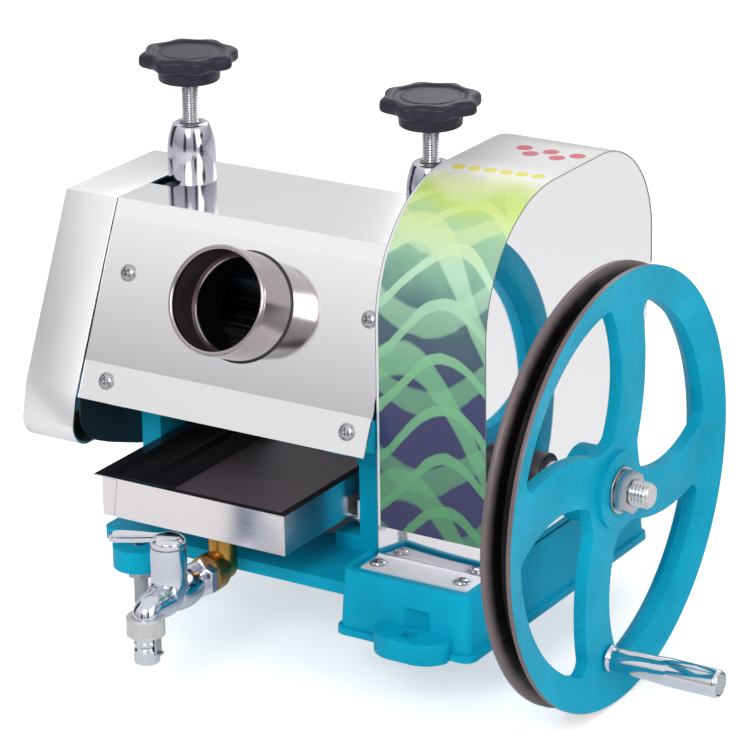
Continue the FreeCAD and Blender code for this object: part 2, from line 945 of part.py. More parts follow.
def rear_panel():
    """Sloping rear sheet with the discharge window."""
    high = mirrored(panel_point(window_high, window_cut))
    inner_high = mirrored(panel_point(window_high, -window_cut))
    outer_y = high[0] + window_reach
    inner_y = inner_high[0] - window_cut
    window = x_profile(chute_under(outer_y), [high, inner_high, chute_under(inner_y)],
                       machine_middle_x - window_width / 2, machine_middle_x + window_width / 2)
    return panel_sheet(True).cut(window)


def panel_screws():
    """Pan head screws of the sloping sheets."""
    screws = []
    for x, slant, back in screw_seats():
        head = screw_hole(x, slant, panel_head_radius, 0.0, back, panel_head_height)
        y, z = panel_point(slant, panel_head_height)
        axis = V(0, math.cos(tilt), -math.sin(tilt))
        if back:
            y = 2 * housing_middle_y - y
            axis = V(0, -math.cos(tilt), -math.sin(tilt))
        for turn in (45, 135):
            bar = box(-cross_reach, cross_reach, -cross_half, cross_half, 0, cross_depth)
            bar.Placement = FreeCAD.Placement(V(x, y, z), FreeCAD.Rotation(V(0, 0, 1), axis)).multiply(
                FreeCAD.Placement(V(0, 0, 0), FreeCAD.Rotation(V(0, 0, 1), turn)))
            head = head.cut(bar)
        screws.append(head.fuse(screw_hole(x, slant, panel_screw_radius, screw_boss_depth, back)))
    return group(screws)


def feed_tube():
    """Round feed throat: a turned sheet tube with a raised mouth band and an inner flange."""
    base, axis = feed_axis()
    outer = base - axis * tube_reach
    tube = Part.makeCylinder(tube_radius, tube_reach + sheet + tube_inner_reach, outer, axis)
    tube = tube.fuse(Part.makeCylinder(tube_radius + tube_flange, tube_flange_thickness,
                                       base + axis * sheet, axis))
    return tube.cut(Part.makeCylinder(tube_radius - tube_wall, 4 * tube_reach, outer - axis, axis))


def top_cover():
    """Flat top sheet with the holes of the spring columns and a notch beside the left one."""
    z1 = panel_top_z
    y0 = panel_top_y
    y1 = 2 * housing_middle_y - panel_top_y
    cover = box(panel_left, panel_right, y0 + sheet, y1 - sheet, z1 - sheet, z1)
    for side in (-1, 1):
        cover = cover.cut(z_rod(column_neck_radius, z1 - 2 * sheet, z1 + over,
                                machine_middle_x + side * frame_middle, top_roller_y))
    return cover.cut(box(panel_left - over, machine_middle_x - frame_middle, notch_front, notch_rear,
                         z1 - 2 * sheet, z1 + over))


def discharge_chute():
    """Sloping channel that takes the pressed cane out through the rear window."""
    top = (chute_inner_y, chute_inner_z)
    end = (chute_outer_y, chute_inner_z - chute_drop)
    x0 = machine_middle_x - chute_width / 2
    x1 = machine_middle_x + chute_width / 2
    floor = x_profile(top, [end, (end[0], end[1] - sheet), (top[0], top[1] - sheet)], x0, x1)
    wall_start, wall_base = chute_under(chute_inner_y + chute_wall_start)
    walls = []
    for w0 in (x0, x1 - sheet):
        walls.append(x_profile(
            (wall_start, wall_base),
            [(end[0], end[1] - sheet), (end[0], end[1] + chute_nose_height),
             (end[0] - chute_nose, end[1] + chute_wall), (wall_start, wall_base + chute_wall)],
            w0, w0 + sheet))
    return floor.fuse(walls)


def cover_outline(inset):
    """Outline of the left end cover, drawn in by inset."""
    t = inset
    r = cover_corner - t
    s = r * (1 - math.sqrt(0.5))
    lean = t * (1 - math.sin(tilt)) / math.cos(tilt)
    top_y = panel_top_y - cover_slack + lean
    top_z = panel_top_z - t
    knee = (panel_bottom_y - cover_slack + t, panel_bottom_z + cover_knee)
    toe_y = panel_bottom_y - cover_toe + t
    low = cover_bottom + t
    start = (top_y, top_z)
    front = [knee, (toe_y, low + r), ((toe_y + s, low + s), (toe_y + r, low))]
    rear_toe = 2 * housing_middle_y - toe_y
    rear = [
        (rear_toe - r, low),
        ((rear_toe - s, low + s), (rear_toe, low + r)),
        mirrored(knee),
        mirrored(start),
    ]
    return start, front + rear


def end_cover():
    """Sheet cover over the roller gears: outer face and a band back to the panels."""
    start, steps = cover_outline(0)
    shell = x_profile(start, steps, cover_left, panel_left - cover_gap)
    start, steps = cover_outline(sheet)
    shell = shell.cut(x_profile(start, steps, cover_left + sheet, panel_left + over))
    for y, z in cover_posts_at():
        shell = shell.cut(x_rod(cover_screw_radius, cover_left - over, cover_left + sheet + over, y, z))
    return shell


def cover_posts_at():
    """(y, z) of the posts that carry the end cover."""
    return [(panel_top_y + cover_post_inset, frame_top - cover_post_drop),
            (2 * housing_middle_y - panel_top_y - cover_post_inset, frame_top - cover_post_drop)]


def cover_posts():
    """Round posts from the left frame's web to the end cover."""
    web_outer = side_x(-1, 0, web_thickness)[0]
    return group([
        x_rod(cover_post_radius, cover_left + sheet, web_outer, y, z)
        .cut(x_rod(cover_screw_radius, cover_left, cover_left + cover_hole_depth, y, z))
        for y, z in cover_posts_at()
    ])


def cover_screws():
    """Screws of the end cover, one in each post."""
    return group([
        x_rod(cover_head_radius, cover_left - cover_head_height, cover_left, y, z)
        .fuse(x_rod(cover_screw_radius, cover_left, cover_left + cover_screw_grip, y, z))
        for y, z in cover_posts_at()
    ])


def guard_outline(inset):
    """Outline of the gear guard's band, drawn in by inset; the front foot is apart."""
    t = inset
    front = guard_front + t
    top = guard_top - t
    front_r = guard_front_radius - t
    rear_r = guard_rear_radius - t
    foot = deck_top + t
    front_c = (guard_front + guard_front_radius, guard_top - guard_front_radius)
    rear_c = (guard_rear_bulge - guard_rear_radius, guard_top - guard_rear_radius)
    d = math.sqrt(0.5)
    rear_foot = guard_rear_foot - t
    steps = [
        (front, front_c[1]),
        ((front_c[0] - front_r * d, front_c[1] + front_r * d), (front_c[0], top)),
        (rear_c[0], top),
        ((rear_c[0] + rear_r * d, rear_c[1] + rear_r * d), (guard_rear_bulge - t, rear_c[1])),
        (guard_rear_bulge - t, guard_rear_knee),
        (rear_foot, foot),
    ]
    return (front, foot), steps


def gear_guard():
    """Bent band over the drive gears with a slotted foot in front."""
    start, steps = guard_outline(0)
    band = x_profile(start, steps, guard_left, guard_right)
    start, steps = guard_outline(guard_sheet)
    hollow = x_profile(start, steps, guard_left - over, guard_right + over)
    band = band.cut(hollow)
    band = band.cut(box(guard_left - over, guard_right + over, guard_front + guard_sheet,
                        guard_rear_foot - guard_rear_flange, deck_top - over, deck_top + 2 * guard_sheet))
    foot = box(guard_left, guard_right - guard_foot_notch, guard_front - guard_foot_reach,
               guard_front + guard_sheet / 2, deck_top, deck_top + guard_sheet)
    for x in (guard_screw_left, guard_screw_right):
        foot = foot.cut(z_rod(guard_slot_radius, deck_top - over, deck_top + guard_sheet + over,
                              x, guard_screw_y))
    return band.fuse(foot)


def guard_plate(x0, x1):
    """A flat sheet that closes one side of the guard."""
    start, steps = guard_outline(guard_sheet)
    return x_profile(start, steps, x0, x1).cut(
        x_rod(shaft_radius + guard_shaft_gap, x0 - over, x1 + over, shaft_y, shaft_z))


def guard_side_plate():
    """Outer side sheet of the guard, with the hole of the drive shaft."""
    return guard_plate(guard_right - guard_sheet, guard_right)


def guard_inner_plate():
    """Inner side sheet of the guard, with a tall hole where the top journal lifts."""
    x0 = guard_left
    x1 = guard_left + guard_sheet
    plate = guard_plate(x0, x1)
    gap = journal_radius + guard_shaft_gap
    plate = plate.cut(x_rod(gap, x0 - over, x1 + over, top_roller_y, top_roller_z))
    plate = plate.cut(x_rod(gap, x0 - over, x1 + over, top_roller_y, top_roller_z + lift_travel))
    return plate.cut(box(x0 - over, x1 + over, top_roller_y - gap, top_roller_y + gap,
                         top_roller_z, top_roller_z + lift_travel))


def guard_screws():
    """Pan head screws in the guard's foot."""
    return group([
        z_rod(guard_head_radius, deck_top + guard_sheet, deck_top + guard_sheet + guard_head_height,
              x, guard_screw_y)
        .fuse(z_rod(guard_screw_radius, deck_top - guard_screw_grip, deck_top + guard_sheet,
                    x, guard_screw_y))
        for x in (guard_screw_left, guard_screw_right)
    ])


def spring_columns():
    """Bullet-shaped columns over the bearing slots, bored for the springs and tapped on top."""
    columns = []
    z0 = panel_top_z
    z1 = z0 + column_height
    belt = z0 + column_height * column_belt
    share = column_shoulder
    middle = (column_radius * share + column_top_radius * (1 - share) + column_swell,
              belt * (1 - share) + z1 * share)
    for side in (-1, 1):
        x = machine_middle_x + side * frame_middle
        column = turned_z((0, z0 - sheet * 2), [
            (column_neck_radius, z0 - sheet * 2),
            (column_neck_radius, z0),
            (column_radius, z0),
            (column_radius, belt),
            (middle, (column_top_radius, z1)),
            (0, z1),
        ], x, top_roller_y)
        column = column.cut(z_rod(column_bore_radius, frame_top, z1 - column_crown, x, top_roller_y))
        columns.append(column.cut(z_rod(press_screw_radius + running_gap, z0, z1 + over, x, top_roller_y)))
    return group(columns)


def guide_plate():
    """Wedge between the lower rollers that carries the cane from the first nip to the second."""
    half_section = [
        (guide_head_half, guide_top),
        (guide_neck_half, guide_top - guide_neck_drop),
        (guide_web_half, guide_top - guide_web_drop),
        (guide_web_half, guide_bar_top),
        (guide_bar_half, guide_bar_top),
        (guide_bar_half, guide_bar_top - guide_bar_height),
    ]
    rear = [(top_roller_y + half, z) for half, z in half_section]
    front = [(top_roller_y - half, z) for half, z in reversed(half_section)]
    return x_profile(rear[0], rear[1:] + front, left_web_inner, right_web_inner)


def thrust_pad(side):
    """Hardened pad between a pressure screw and its disc springs."""
    x = machine_middle_x + side * frame_middle
    z0 = stack_top()
    return z_rod(disc_spring_radius, z0, z0 + thrust_pad_height, x, top_roller_y)


def stack_base():
    """z of the lowest disc spring's seat on the bearing block."""
    return block_top + block_boss_height


def stack_top():
    """z of the top of a disc spring stack."""
    return stack_base() + 2 * disc_spring_pairs * (disc_spring_thickness + disc_spring_cone)


def disc_springs(side):
    """One stack of disc springs in opposed pairs."""
    x = machine_middle_x + side * frame_middle
    step = disc_spring_thickness + disc_spring_cone
    discs = []
    for k in range(2 * disc_spring_pairs):
        z = stack_base() + k * step
        low, high = (disc_spring_cone, 0.0) if k % 2 else (0.0, disc_spring_cone)
        discs.append(turned_z(
            (disc_spring_bore, z + high),
            [(disc_spring_radius, z + low), (disc_spring_radius, z + low + disc_spring_thickness),
             (disc_spring_bore, z + high + disc_spring_thickness)],
            x, top_roller_y))
    return group(discs)


def press_screw(side, top):
    """Threaded spindle from the thrust pad up into the knob."""
    x = machine_middle_x + side * frame_middle
    return z_rod(press_screw_radius, stack_top() + thrust_pad_height, top, x, top_roller_y)


def star_outline(x, y, z0, z1):
    """Star outline with rounded lobes and hollows between them."""
    pitch = 360.0 / knob_lobes
    waist = knob_radius - knob_lobe_depth / 2
    hollow = knob_radius - knob_lobe_depth

    def at(angle, radius):
        turn = math.radians(angle)
        return (x + radius * math.cos(turn), y + radius * math.sin(turn))

    steps = []
    for k in range(knob_lobes):
        middle = k * pitch
        steps.append((at(middle, knob_radius), at(middle + pitch * 0.25, waist)))
        steps.append((at(middle + pitch * 0.5, hollow), at(middle + pitch * 0.75, waist)))
    return z_profile(at(-pitch * 0.25, waist), steps, z0, z1)


def knob(side, bottom, screw_top):
    """Star knob: lobed rim, dished top and a round hub below, blind bored for the spindle."""
    x = machine_middle_x + side * frame_middle
    rim = bottom + knob_hub_height
    top = rim + knob_rim_height
    star = star_outline(x, top_roller_y, rim, top)
    star = star.fuse(z_rod(knob_hub_radius, bottom, rim + over, x, top_roller_y))
    star = star.cut(z_rod(knob_dish_radius, top - knob_dish_depth, top + over, x, top_roller_y))
    return star.cut(z_rod(press_screw_radius, bottom - over, screw_top, x, top_roller_y))


def bearing_blocks():
    """Sliding blocks of the top roller with a round boss for the springs."""
    blocks = []
    for side in (-1, 1):
        b0, b1 = side_x(side, 0, boss_width)
        x = machine_middle_x + side * frame_middle
        block = box(b0, b1, top_roller_y - block_half_width, top_roller_y + block_half_width,
                    top_roller_z - block_half_height, block_top)
        block = block.fuse(z_rod(block_boss_radius, block_top, stack_base(), x, top_roller_y))
        blocks.append(block.cut(x_rod(bush_radius, b0 - over, b1 + over, top_roller_y, top_roller_z)))
    return group(blocks)


def block_bushes():
    """Bushes pressed into the sliding blocks."""
    spans = [side_x(side, 0, boss_width) for side in (-1, 1)]
    return group([bush(b0, b1, top_roller_y, top_roller_z) for b0, b1 in spans])


def gear_outline(module, teeth, first_tooth, tip, y, z):
    """Points of an involute gear's outline: angle of one tooth's centre, tip height in modules."""
    pitch_radius = module * teeth / 2
    base = pitch_radius * math.cos(math.radians(pressure_angle))
    outer = pitch_radius + tip * module
    root = pitch_radius - gear_root * module
    flank_start = max(base, root)

    def involute(radius):
        return math.sqrt(max((radius / base) ** 2 - 1, 0)) - math.acos(min(base / radius, 1))

    half = math.pi / (2 * teeth) - gear_backlash / (2 * pitch_radius)
    points = []
    for k in range(teeth):
        centre = first_tooth + k * 2 * math.pi / teeth
        radii = [flank_start + (outer - flank_start) * j / flank_steps for j in range(flank_steps + 1)]
        spread = [half - (involute(r) - involute(pitch_radius)) for r in radii]
        side = list(zip(radii, spread))
        if root < flank_start:
            side = [(root, spread[0])] + side
        for r, w in side:
            points.append((y + r * math.cos(centre - w), z + r * math.sin(centre - w)))
        for r, w in reversed(side):
            points.append((y + r * math.cos(centre + w), z + r * math.sin(centre + w)))
    return points


def gear(module, teeth, first_tooth, tip, y, z, x0, width):
    """Spur gear with a bore for a journal and a keyway."""
    points = gear_outline(module, teeth, first_tooth, tip, y, z)
    wheel = x_profile(points[0], points[1:], x0, x0 + width)
    return bored(wheel, x0, x0 + width, y, z)


def bored(wheel, x0, x1, y, z):
    """The wheel with its journal bore and keyway cut."""
    wheel = wheel.cut(x_rod(journal_radius, x0 - over, x1 + over, y, z))
    return wheel.cut(box(x0 - over, x1 + over, y - key_width / 2, y + key_width / 2,
                         z, z + journal_radius + key_rise))


def line_angle(y0, z0, y1, z1):
    """Angle of the line from one centre to another in the YZ plane."""
    return math.atan2(z1 - z0, y1 - y0)


def meshed(tooth, teeth, other_teeth, angle):
    """Angle of a tooth centre on the second gear so that it meshes with the first along angle."""
    offset = (tooth - angle) * teeth / (2 * math.pi)
    return angle + math.pi - offset * 2 * math.pi / other_teeth + math.pi / other_teeth


def key_bar(x0, x1, y, z):
    """Parallel key on top of a journal."""
    return box(x0, x1, y - key_width / 2, y + key_width / 2,
               z + journal_radius - key_rise, z + journal_radius + key_rise)


def keyed(shaft, x0, x1, y, z):
    """The shaft with its key seat cut."""
    return shaft.cut(key_bar(x0, x1, y, z))


def roller(y, z, x_end, key_spans):
    """Fluted roller with its two journals and key seats."""
    r0 = left_web_inner + roller_end_gap
    r1 = right_web_inner - roller_end_gap
    points = []
    for k in range(roller_flutes):
        land_end, floor_start, floor_end = flute_shape
        for part, radius in ((0.0, roller_radius), (land_end, roller_radius),
                             (floor_start, roller_radius - flute_depth),
                             (floor_end, roller_radius - flute_depth)):
            turn = 2 * math.pi * (k + part) / roller_flutes
            points.append((y + radius * math.cos(turn), z + radius * math.sin(turn)))
    body = x_profile(points[0], points[1:], r0, r1)
    body = body.fuse(x_rod(journal_radius, roller_left_end, x_end, y, z))
    for x0, x1 in key_spans:
        body = keyed(body, x0, x1, y, z)
    return body


def drive_shaft():
    """Shaft of the flywheel and pinion, with a shoulder and thread for the hub nut."""
    x0 = side_x(1, 0, boss_width)[0] + shaft_set_in
    seat = wheel_front - wheel_dish + hub_front_height
    shaft = x_rod(shaft_radius, x0, seat, shaft_y, shaft_z)
    shaft = shaft.fuse(x_rod(wheel_thread_radius, seat, shaft_end, shaft_y, shaft_z))
    shaft = keyed(shaft, pinion_span()[0], pinion_span()[1], shaft_y, shaft_z)
    shaft = keyed(shaft, wheel_rear_boss(), seat, shaft_y, shaft_z)
    centre = V(shaft_end - shaft_centre_depth, shaft_y, shaft_z)
    return shaft.cut(Part.makeCone(0.0, shaft_centre_radius, shaft_centre_depth, centre, V(1, 0, 0)))


def pinion_span():
    """X interval of the pinion."""
    return (drive_gear_left - pinion_overlap, drive_gear_left + drive_gear_width + pinion_overlap)


def wheel_rear_boss():
    """x of the rear end of the flywheel's hub."""
    return web_rear - hub_rear_length


def shaft_keys():
    """Keys of the pinion and of the flywheel."""
    seat = wheel_front - wheel_dish + hub_front_height
    spans = (pinion_span(), (wheel_rear_boss(), seat))
    return group([key_bar(x0, x1, shaft_y, shaft_z) for x0, x1 in spans])


def shaft_collar():
    """Stop collar between the guard and the flywheel."""
    return x_rod(collar_radius, collar_left, collar_left + collar_length, shaft_y, shaft_z).cut(
        x_rod(shaft_radius, collar_left - over, collar_left + collar_length + over, shaft_y, shaft_z))


def window_outline():
    """Outline of one opening of the flywheel, about the hub: (start, steps)."""
    ring = wheel_web_radius - rim_edge / 2
    a0 = math.radians(window_lead_angle)
    a1 = math.radians(window_trail_angle)
    mid = (a0 + a1) / 2
    lead_ring = (ring * math.cos(a0), ring * math.sin(a0))
    trail_ring = (ring * math.cos(a1), ring * math.sin(a1))
    arc_mid = (ring * math.cos(mid), ring * math.sin(mid))
    lead_root, lead_middle, trail_root, trail_middle = [
        (wheel_web_radius * share[0], wheel_web_radius * share[1])
        for share in (window_lead_root, window_lead_middle, window_trail_root, window_trail_middle)
    ]
    return lead_root, [(lead_middle, lead_ring), (arc_mid, trail_ring), (trail_middle, trail_root)]


def wheel_window():
    """Cutter for one opening between two spokes, with rounded corners, about the X axis."""
    def corner(edge, low, high):
        """True for an edge along X whose share of the web's radius lies between low and high."""
        reach = math.hypot(edge.CenterOfMass.y, edge.CenterOfMass.z) / wheel_web_radius
        return along(edge, V(1, 0, 0)) and low < reach < high

    start, steps = window_outline()
    cutter = x_profile(start, steps, web_rear - over, web_front + over)
    cutter = rounded(cutter, spoke_rim_fillet, lambda edge: corner(edge, window_outer_share, 1))
    return rounded(cutter, spoke_hub_fillet, lambda edge: corner(edge, 0, window_inner_share))


def flywheel():
    """Cast flywheel: grooved rim with a dished face, four bowed spokes and a hub."""
    lip_front = wheel_front - wheel_lip
    lip_rear = wheel_rear + wheel_lip
    slope = (wheel_width - 2 * wheel_lip - groove_floor) / 2
    rim = turned_x([
        (wheel_front, wheel_radius),
        (lip_front, wheel_radius),
        (lip_front - slope, wheel_radius - groove_depth),
        (lip_rear + slope, wheel_radius - groove_depth),
        (lip_rear, wheel_radius),
        (wheel_rear, wheel_radius),
        (wheel_rear, wheel_web_radius + rim_rear_step),
        (web_rear, wheel_web_radius),
        (web_rear, wheel_web_radius - rim_edge),
        (web_front, wheel_web_radius - rim_edge),
        (wheel_front, wheel_radius - rim_edge),
    ], 0, 0)
    web = x_rod(wheel_web_radius, web_rear, web_front, 0, 0)
    window = wheel_window()
    for k in range(spoke_count):
        cutter = window.copy()
        cutter.rotate(V(0, 0, 0), V(1, 0, 0), 360.0 * k / spoke_count)
        web = web.cut(cutter)
    wheel = web.fuse(rim)
    wheel = wheel.fuse(x_rod(hub_front_radius, web_front - over, web_front + hub_front_height, 0, 0))
    wheel = wheel.fuse(x_rod(hub_rear_radius, wheel_rear_boss(), web_rear + over, 0, 0))
    wheel = bored(wheel, wheel_rear_boss(), web_front + hub_front_height, 0, 0)
    wheel = wheel.cut(x_rod(handle_stud_radius, web_rear - over, web_front + over, handle_y - shaft_y,
                            handle_z - shaft_z))
    wheel.translate(V(0, shaft_y, shaft_z))
    return wheel


def hub_nut():
    """Hexagon nut and washer that hold the flywheel."""
    seat = web_front + hub_front_height
    nut = x_rod(wheel_washer_radius, seat, seat + wheel_washer, shaft_y, shaft_z)
    nut = nut.fuse(hex_bar(wheel_nut_flats, wheel_nut_height - wheel_washer,
                           V(seat + wheel_washer, shaft_y, shaft_z), V(1, 0, 0)))
    return nut.cut(x_rod(wheel_thread_radius, seat - over, seat + wheel_nut_height + over,
                         shaft_y, shaft_z))


def handle_stud():
    """Shoulder stud of the crank handle, headed at its outer end."""
    x1 = web_front + handle_gap + handle_length
    stud = x_rod(handle_stud_radius, web_rear - handle_nut_height - handle_stud_tail, x1 - handle_cap_height,
                 handle_y, handle_z)
    return stud.fuse(x_rod(handle_cap_radius, x1 - handle_cap_height, x1, handle_y, handle_z))


def handle_nut():
    """Nut of the handle stud behind the spoke."""
    nut = hex_bar(handle_nut_flats, handle_nut_height,
                  V(web_rear - handle_nut_height, handle_y, handle_z), V(1, 0, 0))
    return nut.cut(x_rod(handle_stud_radius, web_rear - handle_nut_height - over, web_rear + over,
                         handle_y, handle_z))


def crank_handle():
    """Tapered sleeve that spins on the stud, recessed at the end for the stud's head."""
    x0 = web_front + handle_gap
    x1 = x0 + handle_length
    bore = handle_stud_radius + running_gap
    recess = handle_cap_radius + handle_recess_gap
    shoulder = x1 - handle_cap_height - handle_gap
    return turned_x([
        (x0, bore),
        (x0, handle_base_radius),
        (x0 + handle_length * handle_taper, handle_end_radius),
        (x1, handle_end_radius),
        (x1, recess),
        (shoulder, recess),
        (shoulder, bore),
    ], handle_y, handle_z)


def juice_tray():
    """Folded sheet tray with a rim on the left and an outlet hole near the front."""
    tray = box(tray_left, tray_right, tray_front, tray_rear, tray_bottom, tray_bottom + tray_height)
    tray = tray.cut(box(tray_left + tray_sheet, tray_right - tray_sheet, tray_front + tray_sheet,
                        tray_rear - tray_sheet, tray_bottom + tray_sheet,
                        tray_bottom + tray_height + over))
    top = tray_bottom + tray_height
    tray = tray.fuse(box(tray_left - tray_rim, tray_left + tray_sheet, tray_front, tray_rear,
                         top - tray_sheet, top))
    return tray.cut(z_rod(elbow_bore, tray_bottom - over, tray_bottom + tray_sheet + over, elbow_x, elbow_y))


def outlet_elbow():
    """Brass elbow from the tray's outlet down and forward to the tap, with a flange in the tray."""
    turn_z = elbow_z
    body = z_rod(elbow_radius, turn_z, tray_bottom, elbow_x, elbow_y)
    body = body.fuse(Part.makeSphere(elbow_radius + elbow_swell, V(elbow_x, elbow_y, turn_z)))
    face = elbow_y - elbow_reach
    forward = V(0, -1, 0)
    body = body.fuse(Part.makeCylinder(elbow_radius + elbow_swell, elbow_reach - elbow_collar_length + over,
                                       V(elbow_x, elbow_y, turn_z), forward))
    body = body.fuse(Part.makeCylinder(elbow_collar_radius, elbow_collar_length,
                                       V(elbow_x, face + elbow_collar_length, turn_z), forward))
    body = body.fuse(z_rod(elbow_bore, turn_z, tray_bottom + tray_sheet, elbow_x, elbow_y))
    body = body.fuse(z_rod(elbow_flange, tray_bottom + tray_sheet,
                           tray_bottom + tray_sheet + elbow_flange_thickness, elbow_x, elbow_y))
    drain = elbow_bore - outlet_wall
    body = body.cut(z_rod(drain, turn_z, tray_bottom + tray_height, elbow_x, elbow_y))
    body = body.cut(Part.makeCylinder(drain, elbow_reach + over, V(elbow_x, elbow_y, turn_z), forward))
    return body.cut(Part.makeCylinder(tap_neck_radius, elbow_socket,
                                      V(elbow_x, face + elbow_socket, turn_z), forward))


def pipe(points, radius):
    """Round pipe through (y, z) points in the plane of the outlet, with spherical joints."""
    places = [V(elbow_x, y, z) for y, z in points]
    body = None
    for a, b in zip(places, places[1:]):
        piece = Part.makeCylinder(radius, (b - a).Length, a, b - a)
        body = piece if body is None else body.fuse(piece)
    for joint in places[1:-1]:
        body = body.fuse(Part.makeSphere(radius, joint))
    return body


def tap_body():
    """Tap: threaded inlet with a hexagon, swelling body, upright barrel and down-turned spout."""
    inlet = elbow_y - elbow_reach + elbow_socket
    hex_start = elbow_y - elbow_reach
    forward = V(0, -1, 0)
    body = Part.makeCylinder(tap_neck_radius, inlet - tap_barrel_y, V(elbow_x, inlet, elbow_z), forward)
    body = body.fuse(hex_bar(tap_hex_flats, tap_hex_length, V(elbow_x, hex_start, elbow_z), forward))
    swell_start = hex_start - tap_hex_length
    swell_end = tap_barrel_y + tap_swell_inset
    body = body.fuse(Part.makeCone(tap_hex_flats / 2 - tap_hex_bevel, tap_body_radius,
                                   swell_start - swell_end, V(elbow_x, swell_start, elbow_z), forward))
    body = body.fuse(Part.makeSphere(tap_body_radius, V(elbow_x, swell_end, elbow_z)))
    body = body.fuse(z_rod(tap_barrel_radius, elbow_z + spout_lift, tap_barrel_top - lever_cap_height,
                           elbow_x, tap_barrel_y))
    body = body.fuse(pipe(spout_points(), spout_radius))
    seat = ring_bottom() + ring_height - ring_recess
    body = body.cut(z_rod(2 * spout_radius, nozzle_bottom, seat, elbow_x, nozzle_y))
    body = body.cut(z_rod(nozzle_bore, seat - over, seat + spout_bore_height, elbow_x, nozzle_y))
    return body.cut(Part.makeCylinder(elbow_bore - outlet_wall, tap_bore_depth,
                                      V(elbow_x, inlet + over, elbow_z), forward))


def spout_points():
    """(y, z) points of the spout's centre line, from the barrel to the ring."""
    top = ring_bottom() + ring_height
    return [(tap_barrel_y, elbow_z + spout_top), (tap_barrel_y - spout_bend[0], elbow_z + spout_bend[1]),
            (nozzle_y + spout_elbow[0], top + spout_elbow[1]), (nozzle_y, top - spout_end),
            (nozzle_y, top - spout_end - over)]


def ring_bottom():
    """z of the lower face of the coupling ring."""
    return nozzle_bottom + nozzle_length


def tap_ring():
    """Knurled coupling ring at the spout's end."""
    z0 = ring_bottom()
    points = []
    for k in range(knurl_count):
        for part, radius in ((0.0, ring_radius), (0.5, ring_radius - knurl_depth)):
            turn = 2 * math.pi * (k + part) / knurl_count
            points.append((elbow_x + radius * math.cos(turn), nozzle_y + radius * math.sin(turn)))
    ring = z_profile(points[0], points[1:], z0, z0 + ring_height)
    spout = pipe(spout_points(), spout_radius).cut(
        z_rod(2 * spout_radius, z0, z0 + ring_height - ring_recess, elbow_x, nozzle_y))
    ring = ring.cut(spout)
    return ring.cut(z_rod(nozzle_bore, z0 - over, z0 + ring_height, elbow_x, nozzle_y))


def tap_nozzle():
    """Short hose end below the ring, with a groove round it."""
    z0 = nozzle_bottom
    z1 = ring_bottom()
    groove = (z0 + z1) / 2 + groove_lift
    return turned_z((nozzle_bore, z0), [
        (nozzle_radius, z0),
        (nozzle_radius, groove - nozzle_groove),
        (nozzle_radius - nozzle_groove, groove - nozzle_shoulder),
        (nozzle_radius - nozzle_groove, groove + nozzle_shoulder),
        (nozzle_radius - nozzle_shoulder, groove + nozzle_groove),
        (nozzle_radius - nozzle_shoulder, z1),
        (nozzle_bore, z1),
    ], elbow_x, nozzle_y)


def nozzle_clip():
    """Small spring catch beside the nozzle."""
    x0 = elbow_x + nozzle_radius - clip_sink
    z0 = nozzle_bottom + clip_lift
    y0 = nozzle_y - clip_half
    y1 = nozzle_y + clip_half
    catch = box(x0, x0 + clip_sheet, y0, y1, z0, ring_bottom())
    catch = catch.fuse(box(x0, x0 + clip_reach, y0, y1, z0, z0 + clip_sheet))
    return catch.cut(z_rod(nozzle_radius, nozzle_bottom, ring_bottom() + over, elbow_x, nozzle_y))


def tap_lever():
    """Flat handle of the tap: a cap over the barrel and a broad blade."""
    z1 = tap_barrel_top
    z0 = z1 - lever_cap_height + lever_gap
    cap = z_rod(lever_cap_radius, z0, z1, elbow_x, tap_barrel_y)
    half = lever_width / 2
    end = lever_length - half
    blade = box(0, end, -half, half, z1 - lever_thickness, z1)
    blade = blade.fuse(z_rod(half, z1 - lever_thickness, z1, end, 0))
    blade.rotate(V(0, 0, 0), V(0, 0, 1), lever_angle)
    blade.translate(V(elbow_x, tap_barrel_y, 0))
    return cap.fuse(blade)


tooth_top = line_angle(top_roller_y, top_roller_z, front_roller_y, lower_roller_z)
angle_rear = line_angle(top_roller_y, top_roller_z, rear_roller_y, lower_roller_z)
tooth_front = meshed(tooth_top, roller_gear_teeth, roller_gear_teeth, tooth_top)
tooth_rear = meshed(tooth_top, roller_gear_teeth, roller_gear_teeth, angle_rear)
tooth_drive = line_angle(top_roller_y, top_roller_z, shaft_y, shaft_z)
tooth_pinion = meshed(tooth_drive, drive_gear_teeth, pinion_teeth, tooth_drive)
left_gear_span = (roller_gear_left, roller_gear_left + roller_gear_width)
drive_span = (drive_gear_left, drive_gear_left + drive_gear_width)

